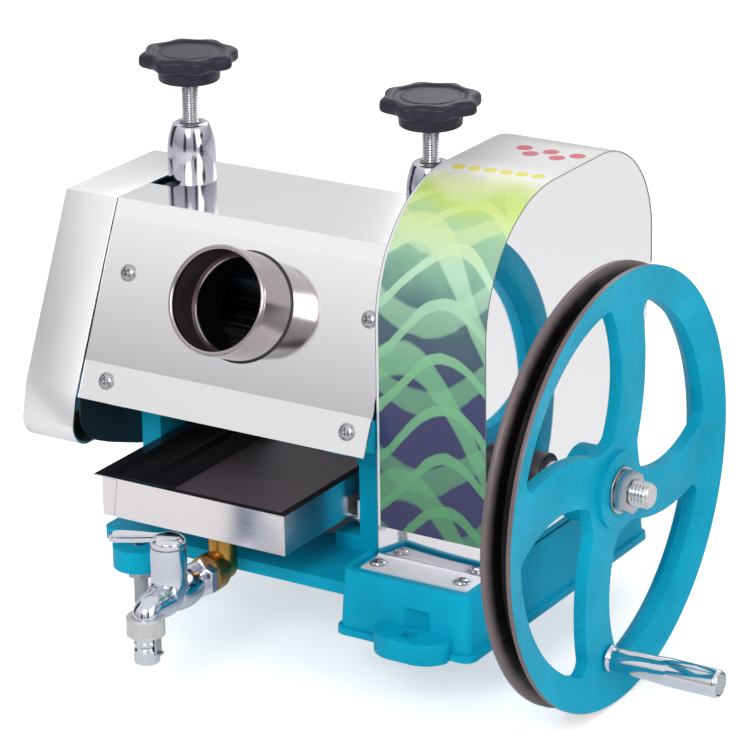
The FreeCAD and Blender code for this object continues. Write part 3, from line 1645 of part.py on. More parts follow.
nodes = {
    "base_casting": base_casting(),
    "left_side_frame": side_frame(-1),
    "right_side_frame": side_frame(1),
    "frame_caps": frame_caps(),
    "frame_bolts": group([foot_bolts(), stand_bolts(), cap_screws()]),
    "plate_bolts": group([plate_studs(), plate_stud_nuts()]),
    "frame_bushes": frame_bushes(),
    "outboard_stand": outboard_stand(),
    "tray_rails": tray_rails(),
    "front_panel": front_panel(),
    "rear_panel": rear_panel(),
    "top_cover": top_cover(),
    "panel_screws": panel_screws(),
    "feed_tube": feed_tube(),
    "discharge_chute": discharge_chute(),
    "end_cover": end_cover(),
    "cover_posts": cover_posts(),
    "gear_guard": gear_guard(),
    "guard_side_plate": guard_side_plate(),
    "guard_inner_plate": guard_inner_plate(),
    "cover_screws": group([cover_screws(), guard_screws()]),
    "spring_columns": spring_columns(),
    "guide_plate": guide_plate(),
    "left_disc_springs": disc_springs(-1),
    "right_disc_springs": disc_springs(1),
    "left_thrust_pad": thrust_pad(-1),
    "right_thrust_pad": thrust_pad(1),
    "left_press_screw": press_screw(-1, left_screw_top),
    "right_press_screw": press_screw(1, right_screw_top),
    "left_knob": knob(-1, knob_left_bottom, left_screw_top),
    "right_knob": knob(1, knob_right_bottom, right_screw_top),
    "bearing_blocks": bearing_blocks(),
    "block_bushes": block_bushes(),
    "top_roller": roller(top_roller_y, top_roller_z, top_right_end, (left_gear_span, drive_span)),
    "front_roller": roller(front_roller_y, lower_roller_z, lower_right_end, (left_gear_span,)),
    "rear_roller": roller(rear_roller_y, lower_roller_z, lower_right_end, (left_gear_span,)),
    "top_roller_gear": gear(roller_gear_module, roller_gear_teeth, tooth_top, gear_tip, top_roller_y,
                            top_roller_z, roller_gear_left, roller_gear_width),
    "front_roller_gear": gear(roller_gear_module, roller_gear_teeth, tooth_front, stub_tip, front_roller_y,
                              lower_roller_z, roller_gear_left, roller_gear_width),
    "rear_roller_gear": gear(roller_gear_module, roller_gear_teeth, tooth_rear, stub_tip, rear_roller_y,
                             lower_roller_z, roller_gear_left, roller_gear_width),
    "drive_gear": gear(drive_module, drive_gear_teeth, tooth_drive, drive_tip, top_roller_y, top_roller_z,
                       drive_gear_left, drive_gear_width),
    "top_roller_keys": group([key_bar(x0, x1, top_roller_y, top_roller_z)
                              for x0, x1 in (left_gear_span, drive_span)]),
    "front_roller_key": key_bar(*left_gear_span, front_roller_y, lower_roller_z),
    "rear_roller_key": key_bar(*left_gear_span, rear_roller_y, lower_roller_z),
    "drive_shaft": drive_shaft(),
    "drive_pinion": gear(drive_module, pinion_teeth, tooth_pinion, gear_tip, shaft_y, shaft_z,
                         pinion_span()[0], pinion_span()[1] - pinion_span()[0]),
    "shaft_keys": shaft_keys(),
    "shaft_collar": shaft_collar(),
    "flywheel": flywheel(),
    "hub_nut": hub_nut(),
    "handle_stud": handle_stud(),
    "handle_nut": handle_nut(),
    "crank_handle": crank_handle(),
    "juice_tray": juice_tray(),
    "outlet_elbow": outlet_elbow(),
    "tap_body": tap_body(),
    "tap_ring": tap_ring(),
    "tap_nozzle": tap_nozzle(),
    "nozzle_clip": nozzle_clip(),
    "tap_lever": tap_lever(),
}
for name, shape in nodes.items():
    export(name, shape)
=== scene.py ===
# %% [markdown]
# # A hand-cranked juice mill, dressed in Blender
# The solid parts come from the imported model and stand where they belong, in metres.
# This lesson gives them their finishes and remakes, with numpy, the pieces whose shape is
# too fine for the solids: threads, knobs, the tap, the printed band and the bright lathe work.

# %% Load the frame
import math

import bmesh
import bpy
import numpy as np
from mathutils import Matrix, Vector


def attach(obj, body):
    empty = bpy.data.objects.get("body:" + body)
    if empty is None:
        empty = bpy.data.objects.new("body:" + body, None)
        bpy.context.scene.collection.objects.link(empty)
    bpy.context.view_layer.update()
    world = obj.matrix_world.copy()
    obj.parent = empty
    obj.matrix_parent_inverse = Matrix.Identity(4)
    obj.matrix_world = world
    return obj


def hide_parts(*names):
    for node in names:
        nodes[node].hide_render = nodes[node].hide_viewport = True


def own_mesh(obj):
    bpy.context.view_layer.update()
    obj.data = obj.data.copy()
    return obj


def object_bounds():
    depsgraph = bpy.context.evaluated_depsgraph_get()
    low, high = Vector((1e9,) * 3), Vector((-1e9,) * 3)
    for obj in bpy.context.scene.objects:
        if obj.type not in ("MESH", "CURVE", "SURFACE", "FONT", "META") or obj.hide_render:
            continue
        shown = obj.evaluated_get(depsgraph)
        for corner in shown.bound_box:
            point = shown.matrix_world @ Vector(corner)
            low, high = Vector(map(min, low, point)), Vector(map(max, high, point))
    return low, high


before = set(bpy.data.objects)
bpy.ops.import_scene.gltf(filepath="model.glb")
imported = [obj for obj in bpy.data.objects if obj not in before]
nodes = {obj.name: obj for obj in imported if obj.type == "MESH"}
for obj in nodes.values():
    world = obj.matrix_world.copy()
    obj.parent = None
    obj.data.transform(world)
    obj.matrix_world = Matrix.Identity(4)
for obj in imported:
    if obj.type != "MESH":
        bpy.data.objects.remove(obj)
cad_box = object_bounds()
MM = 0.001
print("nodes in the frame:", len(nodes))

# %% [markdown]
# Most finishes are a Principled shader with a few textures in front of it. Two short helpers
# keep that readable: one starts a material, one adds a node and wires its sockets by name.

# %% Helpers for shader trees
def add_node(tree, kind, links=None, values=None, **settings):
    """Add a node, set its properties and values, and link inputs to the given output sockets."""
    node = tree.nodes.new(kind)
    for key, value in settings.items():
        setattr(node, key, value)
    for key, value in (values or {}).items():
        node.inputs[key].default_value = value
    for key, socket in (links or {}).items():
        tree.links.new(socket, node.inputs[key])
    return node


def new_material(name, color, roughness, metallic=0.0, **sockets):
    """A material with a plain Principled shader: returns material, tree and shader."""
    material = bpy.data.materials.new(name)
    material.use_nodes = True
    tree = material.node_tree
    shader = tree.nodes["Principled BSDF"]
    shader.inputs["Base Color"].default_value = (*color, 1.0)
    shader.inputs["Roughness"].default_value = roughness
    shader.inputs["Metallic"].default_value = metallic
    for key, value in sockets.items():
        shader.inputs[key.replace("_", " ")].default_value = value
    return material, tree, shader


def new_group(name, inputs, outputs):
    """A shader node group with named float, vector or colour sockets."""
    kinds = {"f": "NodeSocketFloat", "v": "NodeSocketVector", "c": "NodeSocketColor"}
    group = bpy.data.node_groups.new(name, "ShaderNodeTree")
    for label, kind, value in inputs:
        socket = group.interface.new_socket(label, in_out="INPUT", socket_type=kinds[kind])
        if value is not None:
            socket.default_value = value
    for label, kind in outputs:
        group.interface.new_socket(label, in_out="OUTPUT", socket_type=kinds[kind])
    entry = group.nodes.new("NodeGroupInput")
    leave = group.nodes.new("NodeGroupOutput")
    return group, entry.outputs, leave.inputs


def place_group(tree, group, links=None, values=None):
    """Put a node group into a material with its own values."""
    node = tree.nodes.new("ShaderNodeGroup")
    node.node_tree = group
    for key, value in (values or {}).items():
        node.inputs[key].default_value = value
    for key, socket in (links or {}).items():
        tree.links.new(socket, node.inputs[key])
    return node


def object_place(tree):
    """The Object coordinates of the shaded point."""
    return add_node(tree, "ShaderNodeTexCoord").outputs["Object"]


print("shader helpers ready")

# %% [markdown]
# Sand casting leaves a pebbled skin, and the sprayed enamel over it follows the pebbles.
# A fine noise makes the pebbles and a wide one makes the paint pool lighter and darker.
# The effect is a node group, because the castings and the flywheel share it at two scales.

# %% Node group: pebbled casting
def make_pebbles():
    """Height is fine noise plus a little coarse noise; Tone is slow noise around one half."""
    group, given, result = new_group(
        "Pebbled casting",
        [("Vector", "v", None), ("Grain", "f", 900.0), ("Patch", "f", 22.0)],
        [("Height", "f"), ("Tone", "f")],
    )
    fine = add_node(group, "ShaderNodeTexNoise", {"Vector": given["Vector"], "Scale": given["Grain"]},
                    {"Detail": 2.0, "Roughness": 0.6})
    slow = add_node(group, "ShaderNodeTexNoise", {"Vector": given["Vector"], "Scale": given["Patch"]},
                    {"Detail": 3.0})
    coarse = add_node(group, "ShaderNodeMath", {0: given["Grain"]}, {1: 0.22}, operation="MULTIPLY")
    lumps = add_node(group, "ShaderNodeTexNoise",
                     {"Vector": given["Vector"], "Scale": coarse.outputs[0]}, {"Detail": 1.0})
    height = add_node(group, "ShaderNodeMath", {0: lumps.outputs["Fac"], 2: fine.outputs["Fac"]},
                      {1: 0.8}, operation="MULTIPLY_ADD")
    group.links.new(height.outputs[0], result["Height"])
    group.links.new(slow.outputs["Fac"], result["Tone"])
    return group


pebbles = make_pebbles()
print("group:", pebbles.name)

# %% [markdown]
# Every sheet of the housing is polished in one direction, which leaves faint parallel streaks.
# A noise stretched along one axis gives them. It moves the roughness a little and makes a very
# shallow bump, so that reflections smear across the grain but stay sharp along it.

# %% Node group: polishing streaks
def make_streaks():
    """Streak is fine noise sampled at coordinates divided by Length along the grain."""
    group, given, result = new_group(
        "Polishing streaks",
        [("Vector", "v", None), ("Fineness", "f", 2500.0), ("Stretch", "v", (0.01, 1.0, 1.0))],
        [("Streak", "f"), ("Cloud", "f")],
    )
    squeezed = add_node(group, "ShaderNodeVectorMath",
                        {0: given["Vector"], 1: given["Stretch"]}, operation="MULTIPLY")
    streak = add_node(group, "ShaderNodeTexNoise",
                      {"Vector": squeezed.outputs[0], "Scale": given["Fineness"]},
                      {"Detail": 2.0, "Roughness": 0.7})
    cloud = add_node(group, "ShaderNodeTexNoise", {"Vector": given["Vector"]},
                     {"Scale": 14.0, "Detail": 2.0})
    group.links.new(streak.outputs["Fac"], result["Streak"])
    group.links.new(cloud.outputs["Fac"], result["Cloud"])
    return group


streaks = make_streaks()
print("group:", streaks.name)

# %% [markdown]
# The finishes. Enamel on castings is a glossy dielectric over pebbles. Sheet metal is a smooth
# metal whose roughness follows the streaks. Chrome is the smoothest, brass has a warm cast skin,
# and the knobs are moulded plastic with a soft sheen.

# %% Finishes for castings
TEAL = (0.002, 0.390, 0.600)
WHEEL_AXIS = (0.0, -0.0435, 0.109)


def make_enamel(name, grain, depth):
    """Teal enamel: base colour drifts with the slow tone, bump follows the pebbles."""
    material, tree, shader = new_material(name, TEAL, 0.36, Specular_IOR_Level=0.07)
    skin = place_group(tree, pebbles, {"Vector": object_place(tree)}, {"Grain": grain, "Patch": 18.0})
    ramp = add_node(tree, "ShaderNodeValToRGB", {"Fac": skin.outputs["Tone"]})
    ramp.color_ramp.elements[0].position = 0.3
    ramp.color_ramp.elements[0].color = (0.001, 0.325, 0.500, 1.0)
    ramp.color_ramp.elements[1].position = 0.7
    ramp.color_ramp.elements[1].color = (0.003, 0.440, 0.670, 1.0)
    tree.links.new(ramp.outputs["Color"], shader.inputs["Base Color"])
    bump = add_node(tree, "ShaderNodeBump", {"Height": skin.outputs["Height"]},
                    {"Strength": depth, "Distance": 0.0006})
    tree.links.new(bump.outputs["Normal"], shader.inputs["Normal"])
    return material


def make_iron_with_groove_shade():
    """Dark worn iron, brown on the flanks, with painted shade: black where the distance from the axis is least."""
    material, tree, shader = new_material("Bare iron with painted groove shade", (0.13, 0.115, 0.115), 0.40, 0.6)
    place = object_place(tree)
    skin = place_group(tree, pebbles, {"Vector": place}, {"Grain": 900.0, "Patch": 30.0})
    arm = add_node(tree, "ShaderNodeVectorMath", {0: place}, {1: WHEEL_AXIS}, operation="SUBTRACT")
    flat = add_node(tree, "ShaderNodeVectorMath", {0: arm.outputs[0]}, {1: (0.0, 1.0, 1.0)},
                    operation="MULTIPLY")
    reach = add_node(tree, "ShaderNodeVectorMath", {0: flat.outputs[0]}, operation="LENGTH")
    groove_shade_share = add_node(tree, "ShaderNodeMapRange", {"Value": reach.outputs["Value"]},
                           {"From Min": 0.1440, "From Max": 0.1490})
    # Painted shade: black at the bottom of the groove, rising to the iron's brown towards its edge.
    ramp = add_node(tree, "ShaderNodeValToRGB", {"Fac": groove_shade_share.outputs["Result"]})
    ramp.color_ramp.elements[0].color = (0.004, 0.003, 0.004, 1.0)
    ramp.color_ramp.elements[1].color = (0.19, 0.15, 0.155, 1.0)
    tree.links.new(ramp.outputs["Color"], shader.inputs["Base Color"])
    bump = add_node(tree, "ShaderNodeBump", {"Height": skin.outputs["Height"]},
                    {"Strength": 0.25, "Distance": 0.0004})
    tree.links.new(bump.outputs["Normal"], shader.inputs["Normal"])
    return material


enamel = make_enamel("Cast enamel", 520.0, 0.90)
iron_with_groove_shade = make_iron_with_groove_shade()
print("finish:", enamel.name, iron_with_groove_shade.name)

# %% Finishes for sheet and bright metal
def make_sheet(name, color, roughness, spread, stretch, bump=0.04, metallic=1.0):
    """Polished sheet: roughness runs between two values with the streaks, bump is very shallow."""
    material, tree, shader = new_material(name, color, roughness, metallic)
    grain = place_group(tree, streaks, {"Vector": object_place(tree)}, {"Stretch": stretch})
    spread_node = add_node(tree, "ShaderNodeMapRange", {"Value": grain.outputs["Streak"]},
                           {"To Min": roughness - spread, "To Max": roughness + spread})
    tree.links.new(spread_node.outputs["Result"], shader.inputs["Roughness"])
    dent = add_node(tree, "ShaderNodeBump", {"Height": grain.outputs["Streak"]},
                    {"Strength": bump, "Distance": 0.0001})
    tree.links.new(dent.outputs["Normal"], shader.inputs["Normal"])
    return material


ALONG_X = (0.012, 1.0, 1.0)
ALONG_Z = (1.0, 1.0, 0.012)


def make_front_sheet():
    """The sloping sheet is a little bent: its slope is a falling line between two folds.

    With x the way up the sheet from the lower fold and p the larger of x and 0, the height is
    0.16 p - 0.95 p^2 - 0.03 x, and past the upper fold it falls by another 0.06 of the way.
    """
    material = make_sheet("Front sheet", (0.87, 0.87, 0.875), 0.09, 0.03, ALONG_X)
    tree = material.node_tree

    def step(operation, first, second, third=0.0):
        """One Math node; a number becomes a value and a socket becomes a link."""
        node = add_node(tree, "ShaderNodeMath", operation=operation)
        for slot, item in enumerate((first, second, third)):
            if isinstance(item, float):
                node.inputs[slot].default_value = item
            else:
                tree.links.new(item, node.inputs[slot])
        return node.outputs[0]

    along = add_node(tree, "ShaderNodeVectorMath", {0: object_place(tree)}, {1: (0.0, 0.4035, 0.9150)},
                     operation="DOT_PRODUCT").outputs["Value"]
    x = step("SUBTRACT", along, 0.0679 + 0.027)
    p = step("MAXIMUM", x, 0.0)
    bend = step("MULTIPLY", p, step("MULTIPLY_ADD", p, -0.95, 0.16))
    lower = step("MULTIPLY_ADD", x, -0.03, bend)
    upper = step("MAXIMUM", step("SUBTRACT", x, 0.102), 0.0)
    height = step("MULTIPLY_ADD", upper, -0.06, lower)
    grain = tree.nodes["Bump"]
    fold = add_node(tree, "ShaderNodeBump", {"Height": height}, {"Strength": 1.0, "Distance": 1.0})
    tree.links.new(fold.outputs["Normal"], grain.inputs["Normal"])
    return material


front_sheet = make_front_sheet()
panel_sheet = make_sheet("Mirror sheet", (0.86, 0.86, 0.865), 0.12, 0.03, ALONG_X)
cover_sheet = make_sheet("Satin sheet", (0.90, 0.90, 0.905), 0.30, 0.06, ALONG_X, 0.10)
guard_side = make_sheet("Mirror side sheet", (0.90, 0.90, 0.915), 0.025, 0.01, ALONG_Z, 0.01)
tray_metal = make_sheet("Tray sheet", (0.82, 0.78, 0.80), 0.26, 0.05, ALONG_X)
# The tray's floor and inside walls are painted dark: painted reflection and shade of the housing over a pale steel
# tray.
tray_floor_shade = make_sheet("Tray floor with painted reflection and shade", (0.23, 0.185, 0.22), 0.38, 0.06, ALONG_X, metallic=0.25)
tray_wall_shade = make_sheet("Tray wall with painted shade", (0.050, 0.048, 0.060), 0.20, 0.04, ALONG_X, metallic=0.7)
tube_metal = make_sheet("Throat sheet", (0.42, 0.37, 0.38), 0.17, 0.06, (1.0, 0.05, 1.0), 0.12)
chrome = new_material("Chrome", (0.66, 0.67, 0.72), 0.07, 1.0)[0]
soft_chrome = new_material("Cast chrome", (0.62, 0.64, 0.72), 0.13, 1.0)[0]
zinc = new_material("Zinc plate", (0.46, 0.46, 0.48), 0.22, 1.0)[0]
dull_zinc = new_material("Matt zinc", (0.60, 0.60, 0.61), 0.42, 0.5)[0]
dark_steel = new_material("Oiled steel", (0.20, 0.20, 0.21), 0.35, 1.0)[0]
roller_steel = new_material("Turned steel", (0.17, 0.17, 0.18), 0.30, 1.0)[0]
bronze = new_material("Bearing bronze", (0.62, 0.40, 0.20), 0.35, 1.0)[0]
# This black is the collar's own colour; it is also used as painted shade on the caps' tops and on the apron under the
# tray.
black_collar = new_material("Black collar and painted shade", (0.012, 0.012, 0.014), 0.38)[0]
print("metals ready")

# %% Finishes for brass and the knobs
def make_brass():
    """Warm brass with a faint cast skin that darkens in patches."""
    material, tree, shader = new_material("Cast brass", (0.72, 0.47, 0.16), 0.27, 1.0)
    skin = place_group(tree, pebbles, {"Vector": object_place(tree)}, {"Grain": 1100.0, "Patch": 90.0})
    ramp = add_node(tree, "ShaderNodeValToRGB", {"Fac": skin.outputs["Tone"]})
    ramp.color_ramp.elements[0].color = (0.26, 0.11, 0.025, 1.0)
    ramp.color_ramp.elements[1].color = (0.62, 0.36, 0.085, 1.0)
    tree.links.new(ramp.outputs["Color"], shader.inputs["Base Color"])
    bump = add_node(tree, "ShaderNodeBump", {"Height": skin.outputs["Height"]},
                    {"Strength": 0.15, "Distance": 0.0003})
    tree.links.new(bump.outputs["Normal"], shader.inputs["Normal"])
    return material


def make_knob_plastic():
    """Near-black moulded plastic with a soft sheen."""
    material, tree, shader = new_material("Knob plastic", (0.020, 0.017, 0.034), 0.38, Specular_IOR_Level=0.30)
    skin = place_group(tree, pebbles, {"Vector": object_place(tree)}, {"Grain": 1500.0, "Patch": 60.0})
    bump = add_node(tree, "ShaderNodeBump", {"Height": skin.outputs["Height"]},
                    {"Strength": 0.06, "Distance": 0.0002})
    tree.links.new(bump.outputs["Normal"], shader.inputs["Normal"])
    return material


brass = make_brass()
knob_plastic = make_knob_plastic()
print("finish:", brass.name, knob_plastic.name)

# %% [markdown]
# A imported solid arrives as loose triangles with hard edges. Its mesh is left alone, but
# modifiers may finish it: Weld joins the corners, Decimate in planar mode melts flat triangles
# into whole faces, and Bevel with an angle limit rounds what a casting or a press would round.

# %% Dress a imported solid
def dress(name, material, edge=0.0, segments=2, angle=32.0):
    """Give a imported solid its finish, and round its edges by edge millimetres."""
    piece = nodes[name]
    piece.data.materials.clear()
    piece.data.materials.append(material)
    piece.data.polygons.foreach_set("use_smooth", np.ones(len(piece.data.polygons), dtype=bool))
    weld = piece.modifiers.new("Join corners", "WELD")
    weld.merge_threshold = 2e-6
    if edge:
        melt = piece.modifiers.new("Whole faces", "DECIMATE")
        melt.decimate_type = "DISSOLVE"
        melt.angle_limit = math.radians(0.6)
        bevel = piece.modifiers.new("Rounded edges", "BEVEL")
        bevel.width = edge * MM
        bevel.segments = segments
        bevel.limit_method = "ANGLE"
        bevel.angle_limit = math.radians(angle)
        bevel.harden_normals = True
        bevel.use_clamp_overlap = True
    else:
        split = piece.modifiers.new("Crisp edges", "EDGE_SPLIT")
        split.split_angle = math.radians(angle)
    return piece


plan = {
    "base_casting": (enamel, "teal_cast", 1.6, 3),
    "left_side_frame": (enamel, "teal_cast", 1.4, 3),
    "right_side_frame": (enamel, "teal_cast", 1.4, 3),
    "frame_caps": (enamel, "teal_cast", 0.8, 2),
    "outboard_stand": (enamel, "teal_cast", 1.2, 2),
    "frame_bolts": (zinc, "zinc", 0.4, 1),
    "plate_bolts": (zinc, "zinc", 0.3, 1),
    "frame_bushes": (bronze, "bronze", 0.0, 1),
    "block_bushes": (bronze, "bronze", 0.0, 1),
    "tray_rails": (cover_sheet, "bright_sheet", 0.4, 1),
    "front_panel": (front_sheet, "bright_sheet", 0.0, 1),
    "rear_panel": (panel_sheet, "bright_sheet", 0.0, 1),
    "top_cover": (panel_sheet, "bright_sheet", 0.0, 1),
    "feed_tube": (tube_metal, "bright_sheet", 0.0, 1),
    "discharge_chute": (panel_sheet, "bright_sheet", 0.3, 1),
    "end_cover": (cover_sheet, "bright_sheet", 0.4, 2),
    "cover_posts": (zinc, "zinc", 0.0, 1),
    "guard_side_plate": (guard_side, "bright_sheet", 0.0, 1),
    "guard_inner_plate": (guard_side, "bright_sheet", 0.0, 1),
    "gear_guard": (panel_sheet, "printed_sheet", 0.0, 1),
    "cover_screws": (zinc, "zinc", 0.5, 2),
    "panel_screws": (zinc, "zinc", 0.3, 1),
    "spring_columns": (chrome, "chrome", 0.0, 1),
    "guide_plate": (roller_steel, "roller_steel", 0.3, 1),
    "left_disc_springs": (dark_steel, "spring_steel", 0.0, 1),
    "right_disc_springs": (dark_steel, "spring_steel", 0.0, 1),
    "left_thrust_pad": (dark_steel, "gear_steel", 0.0, 1),
    "right_thrust_pad": (dark_steel, "gear_steel", 0.0, 1),
    "left_press_screw": (zinc, "zinc", 0.0, 1),
    "right_press_screw": (zinc, "zinc", 0.0, 1),
    "left_knob": (knob_plastic, "black_plastic", 0.8, 2),
    "right_knob": (knob_plastic, "black_plastic", 0.8, 2),
    "bearing_blocks": (dark_steel, "gear_steel", 0.4, 1),
    "top_roller": (roller_steel, "roller_steel", 0.0, 1),
    "front_roller": (roller_steel, "roller_steel", 0.0, 1),
    "rear_roller": (roller_steel, "roller_steel", 0.0, 1),
    "top_roller_gear": (dark_steel, "gear_steel", 0.0, 1),
    "front_roller_gear": (dark_steel, "gear_steel", 0.0, 1),
    "rear_roller_gear": (dark_steel, "gear_steel", 0.0, 1),
    "drive_gear": (dark_steel, "gear_steel", 0.0, 1),
    "top_roller_keys": (dark_steel, "gear_steel", 0.0, 1),
    "front_roller_key": (dark_steel, "gear_steel", 0.0, 1),
    "rear_roller_key": (dark_steel, "gear_steel", 0.0, 1),
    "drive_shaft": (zinc, "zinc", 0.3, 1),
    "drive_pinion": (dark_steel, "gear_steel", 0.0, 1),
    "shaft_keys": (dark_steel, "gear_steel", 0.0, 1),
    "shaft_collar": (black_collar, "black_collar", 0.5, 2),
    "flywheel": (enamel, "teal_cast", 1.2, 3),
    "hub_nut": (zinc, "zinc", 0.4, 2),
    "handle_stud": (zinc, "zinc", 0.3, 2),
    "handle_nut": (zinc, "zinc", 0.4, 1),
    "crank_handle": (chrome, "chrome", 0.4, 2),
    "juice_tray": (tray_metal, "tray_sheet", 0.0, 1),
    "outlet_elbow": (brass, "brass", 0.4, 2),
    "tap_body": (soft_chrome, "chrome", 0.0, 1),
    "tap_ring": (dull_zinc, "whitened_zinc", 0.0, 1),
    "tap_nozzle": (chrome, "chrome", 0.0, 1),
    "nozzle_clip": (zinc, "zinc", 0.0, 1),
    "tap_lever": (chrome, "chrome", 0.6, 2),
}
for name, (material, slot, edge, segments) in plan.items():
    dress(name, material, edge, segments)
print("dressed", len(plan), "packed solids")

# %% [markdown]
# Only the wheel's faces are painted. The groove, where a belt or the hand runs, is bare iron,
# with painted shade at its bottom: a face gets the second material when it lies far out and looks outward.

# %% Bare groove of the flywheel
def bare_groove(piece, least_radius, least_outward):
    """Give the second material to faces that lie beyond a radius and look away from the axis."""
    mesh = piece.data
    count = len(mesh.polygons)
    centre = np.empty(count * 3)
    normal = np.empty(count * 3)
    mesh.polygons.foreach_get("center", centre)
    mesh.polygons.foreach_get("normal", normal)
    away = centre.reshape(-1, 3)[:, 1:] - np.array(WHEEL_AXIS[1:])
    radius = np.linalg.norm(away, axis=1)
    outward = (normal.reshape(-1, 3)[:, 1:] * away).sum(axis=1) / np.maximum(radius, 1e-6)
    index = ((radius > least_radius) & (outward > least_outward)).astype(np.int32)
    mesh.polygons.foreach_set("material_index", index)
    return int(index.sum())


nodes["flywheel"].data.materials.append(iron_with_groove_shade)
print("bare faces:", bare_groove(nodes["flywheel"], 0.137, 0.12))

# %% Painted shade on the tops of the frame caps
def paint_shade_on_tops(piece, material):
    """Give faces that look straight up a second material, here black as painted shade."""
    mesh = piece.data
    mesh.materials.append(material)
    normal = np.empty(len(mesh.polygons) * 3)
    mesh.polygons.foreach_get("normal", normal)
    index = (normal.reshape(-1, 3)[:, 2] > 0.9).astype(np.int32)
    mesh.polygons.foreach_set("material_index", index)
    return int(index.sum())


# The black tops are painted shade for the dark notch above the caps.
print("dark tops:", paint_shade_on_tops(nodes["frame_caps"], black_collar))


def squeeze(name):
    """Give the stack its own mesh and return the height of its top in millimetres."""
    piece = nodes[name]
    top = max((piece.matrix_world @ vertex.co).z for vertex in piece.data.vertices)
    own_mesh(piece)
    return round(top / MM, 1)


print("spring tops:", squeeze("left_disc_springs"), squeeze("right_disc_springs"))

# %% [markdown]
# The rest of the shapes are computed. A surface is a grid of points: one direction follows a
# profile, the other goes round or across. One helper turns grids into a mesh, and three others
# make the grids: a lathe turns a profile, a thread winds a groove, a pipe follows a curve.

# %% Grids to meshes
def weave(points, round_rows=False, round_columns=False):
    """Vertices and quads of a grid of points; a round direction is closed on itself."""
    rows, columns = points.shape[:2]
    index = np.arange(rows * columns).reshape(rows, columns)
    if round_rows:
        index = np.vstack([index, index[:1]])
    if round_columns:
        index = np.hstack([index, index[:, :1]])
    quads = np.stack([index[:-1, :-1], index[1:, :-1], index[1:, 1:], index[:-1, 1:]], axis=-1)
    return points.reshape(-1, 3), quads.reshape(-1, 4)


def make_piece(name, patches, material, body="frame", replaces=(), angle=35.0):
    """One object from woven patches in millimetres; poles are merged and normals turned outward."""
    vertices, faces, first = [], [], 0
    for points, quads in patches:
        vertices.append(points * MM)
        faces.append(quads + first)
        first += len(points)
    vertices = np.concatenate(vertices)
    faces = np.concatenate(faces)
    mesh = bpy.data.meshes.new(name)
    mesh.from_pydata(vertices.tolist(), [], faces.tolist())
    sheet = bmesh.new()
    sheet.from_mesh(mesh)
    bmesh.ops.remove_doubles(sheet, verts=sheet.verts, dist=2e-6)
    bmesh.ops.recalc_face_normals(sheet, faces=sheet.faces)
    sheet.to_mesh(mesh)
    sheet.free()
    mesh.polygons.foreach_set("use_smooth", np.ones(len(mesh.polygons), dtype=bool))
    mesh.set_sharp_from_angle(angle=math.radians(angle))
    mesh.materials.append(material)
    piece = bpy.data.objects.new(name.lower().replace(" ", "_"), mesh)
    bpy.context.collection.objects.link(piece)
    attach(piece, body)
    if replaces:
        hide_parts(*replaces)
    return piece


AXES = {"x": ((1, 0, 0), (0, 1, 0), (0, 0, 1)), "y": ((0, -1, 0), (1, 0, 0), (0, 0, 1)),
        "z": ((0, 0, 1), (1, 0, 0), (0, 1, 0))}


def soften(points, radius, steps=4):
    """Round each inner corner of a polyline with a quadratic curve that starts radius before it."""
    points = np.asarray(points, dtype=float)
    result = [points[0]]
    for before, corner, after in zip(points[:-2], points[1:-1], points[2:]):
        reach_in = min(radius, 0.5 * np.linalg.norm(corner - before))
        reach_out = min(radius, 0.5 * np.linalg.norm(after - corner))
        start = corner + (before - corner) * reach_in / np.linalg.norm(before - corner)
        end = corner + (after - corner) * reach_out / np.linalg.norm(after - corner)
        for t in np.linspace(0.0, 1.0, steps + 1):
            result.append((1 - t) ** 2 * start + 2 * t * (1 - t) * corner + t ** 2 * end)
    result.append(points[-1])
    return np.array(result)


def lathe(profile, centre, axes, turns=96, lobes=None):
    """Turn (radius, height) rows about an axis; lobes(angle, row) may scale the radius."""
    along, across, upward = (np.array(axis, dtype=float) for axis in axes)
    profile = np.asarray(profile, dtype=float)
    angle = np.linspace(0.0, 2 * math.pi, turns, endpoint=False)
    radius = profile[:, :1] * (np.ones((1, turns)) if lobes is None else lobes(angle, profile))
    grid = (np.array(centre, dtype=float) + profile[:, 1, None, None] * along
            + radius[..., None] * (np.cos(angle)[:, None] * across + np.sin(angle)[:, None] * upward))
    return weave(grid, round_columns=True)


def thread(radius, depth, pitch, low, high, centre, axes, turns=36, rows_per_pitch=7, tip=0.8):
    """A screwed bar: the radius falls by a triangle wave of height over pitch minus angle."""
    along, across, upward = (np.array(axis, dtype=float) for axis in axes)
    angle = np.linspace(0.0, 2 * math.pi, turns, endpoint=False)
    height = np.linspace(low, high, int((high - low) / pitch * rows_per_pitch) + 1)
    phase = (height[:, None] / pitch - angle[None, :] / (2 * math.pi)) % 1.0
    wave = np.clip(np.abs(2 * phase - 1) * 1.35 - 0.15, 0.0, 1.0)
    shell = radius - depth * wave
    shell = np.minimum(shell, radius - depth + (high - height[:, None]) * 0.9 - tip * 0.3)
    shell = np.vstack([np.zeros((1, turns)), shell, np.zeros((1, turns))])
    height = np.concatenate([[low], height, [high]])
    grid = (np.array(centre, dtype=float) + height[:, None, None] * along
            + shell[..., None] * (np.cos(angle)[:, None] * across + np.sin(angle)[:, None] * upward))
    return weave(grid, round_columns=True)


def curve_through(points, count):
    """Catmull-Rom curve through rows of numbers: cubic blends of four neighbouring rows."""
    points = np.asarray(points, dtype=float)
    padded = np.vstack([2 * points[0] - points[1], points, 2 * points[-1] - points[-2]])
    place = np.linspace(0.0, len(points) - 1 - 1e-6, count)
    k = place.astype(int)
    t = (place - k)[:, None]
    a, b, c, d = (padded[k + j] for j in range(4))
    return 0.5 * (2 * b + (c - a) * t + (2 * a - 5 * b + 4 * c - d) * t ** 2
                  + (3 * b - a - 3 * c + d) * t ** 3)


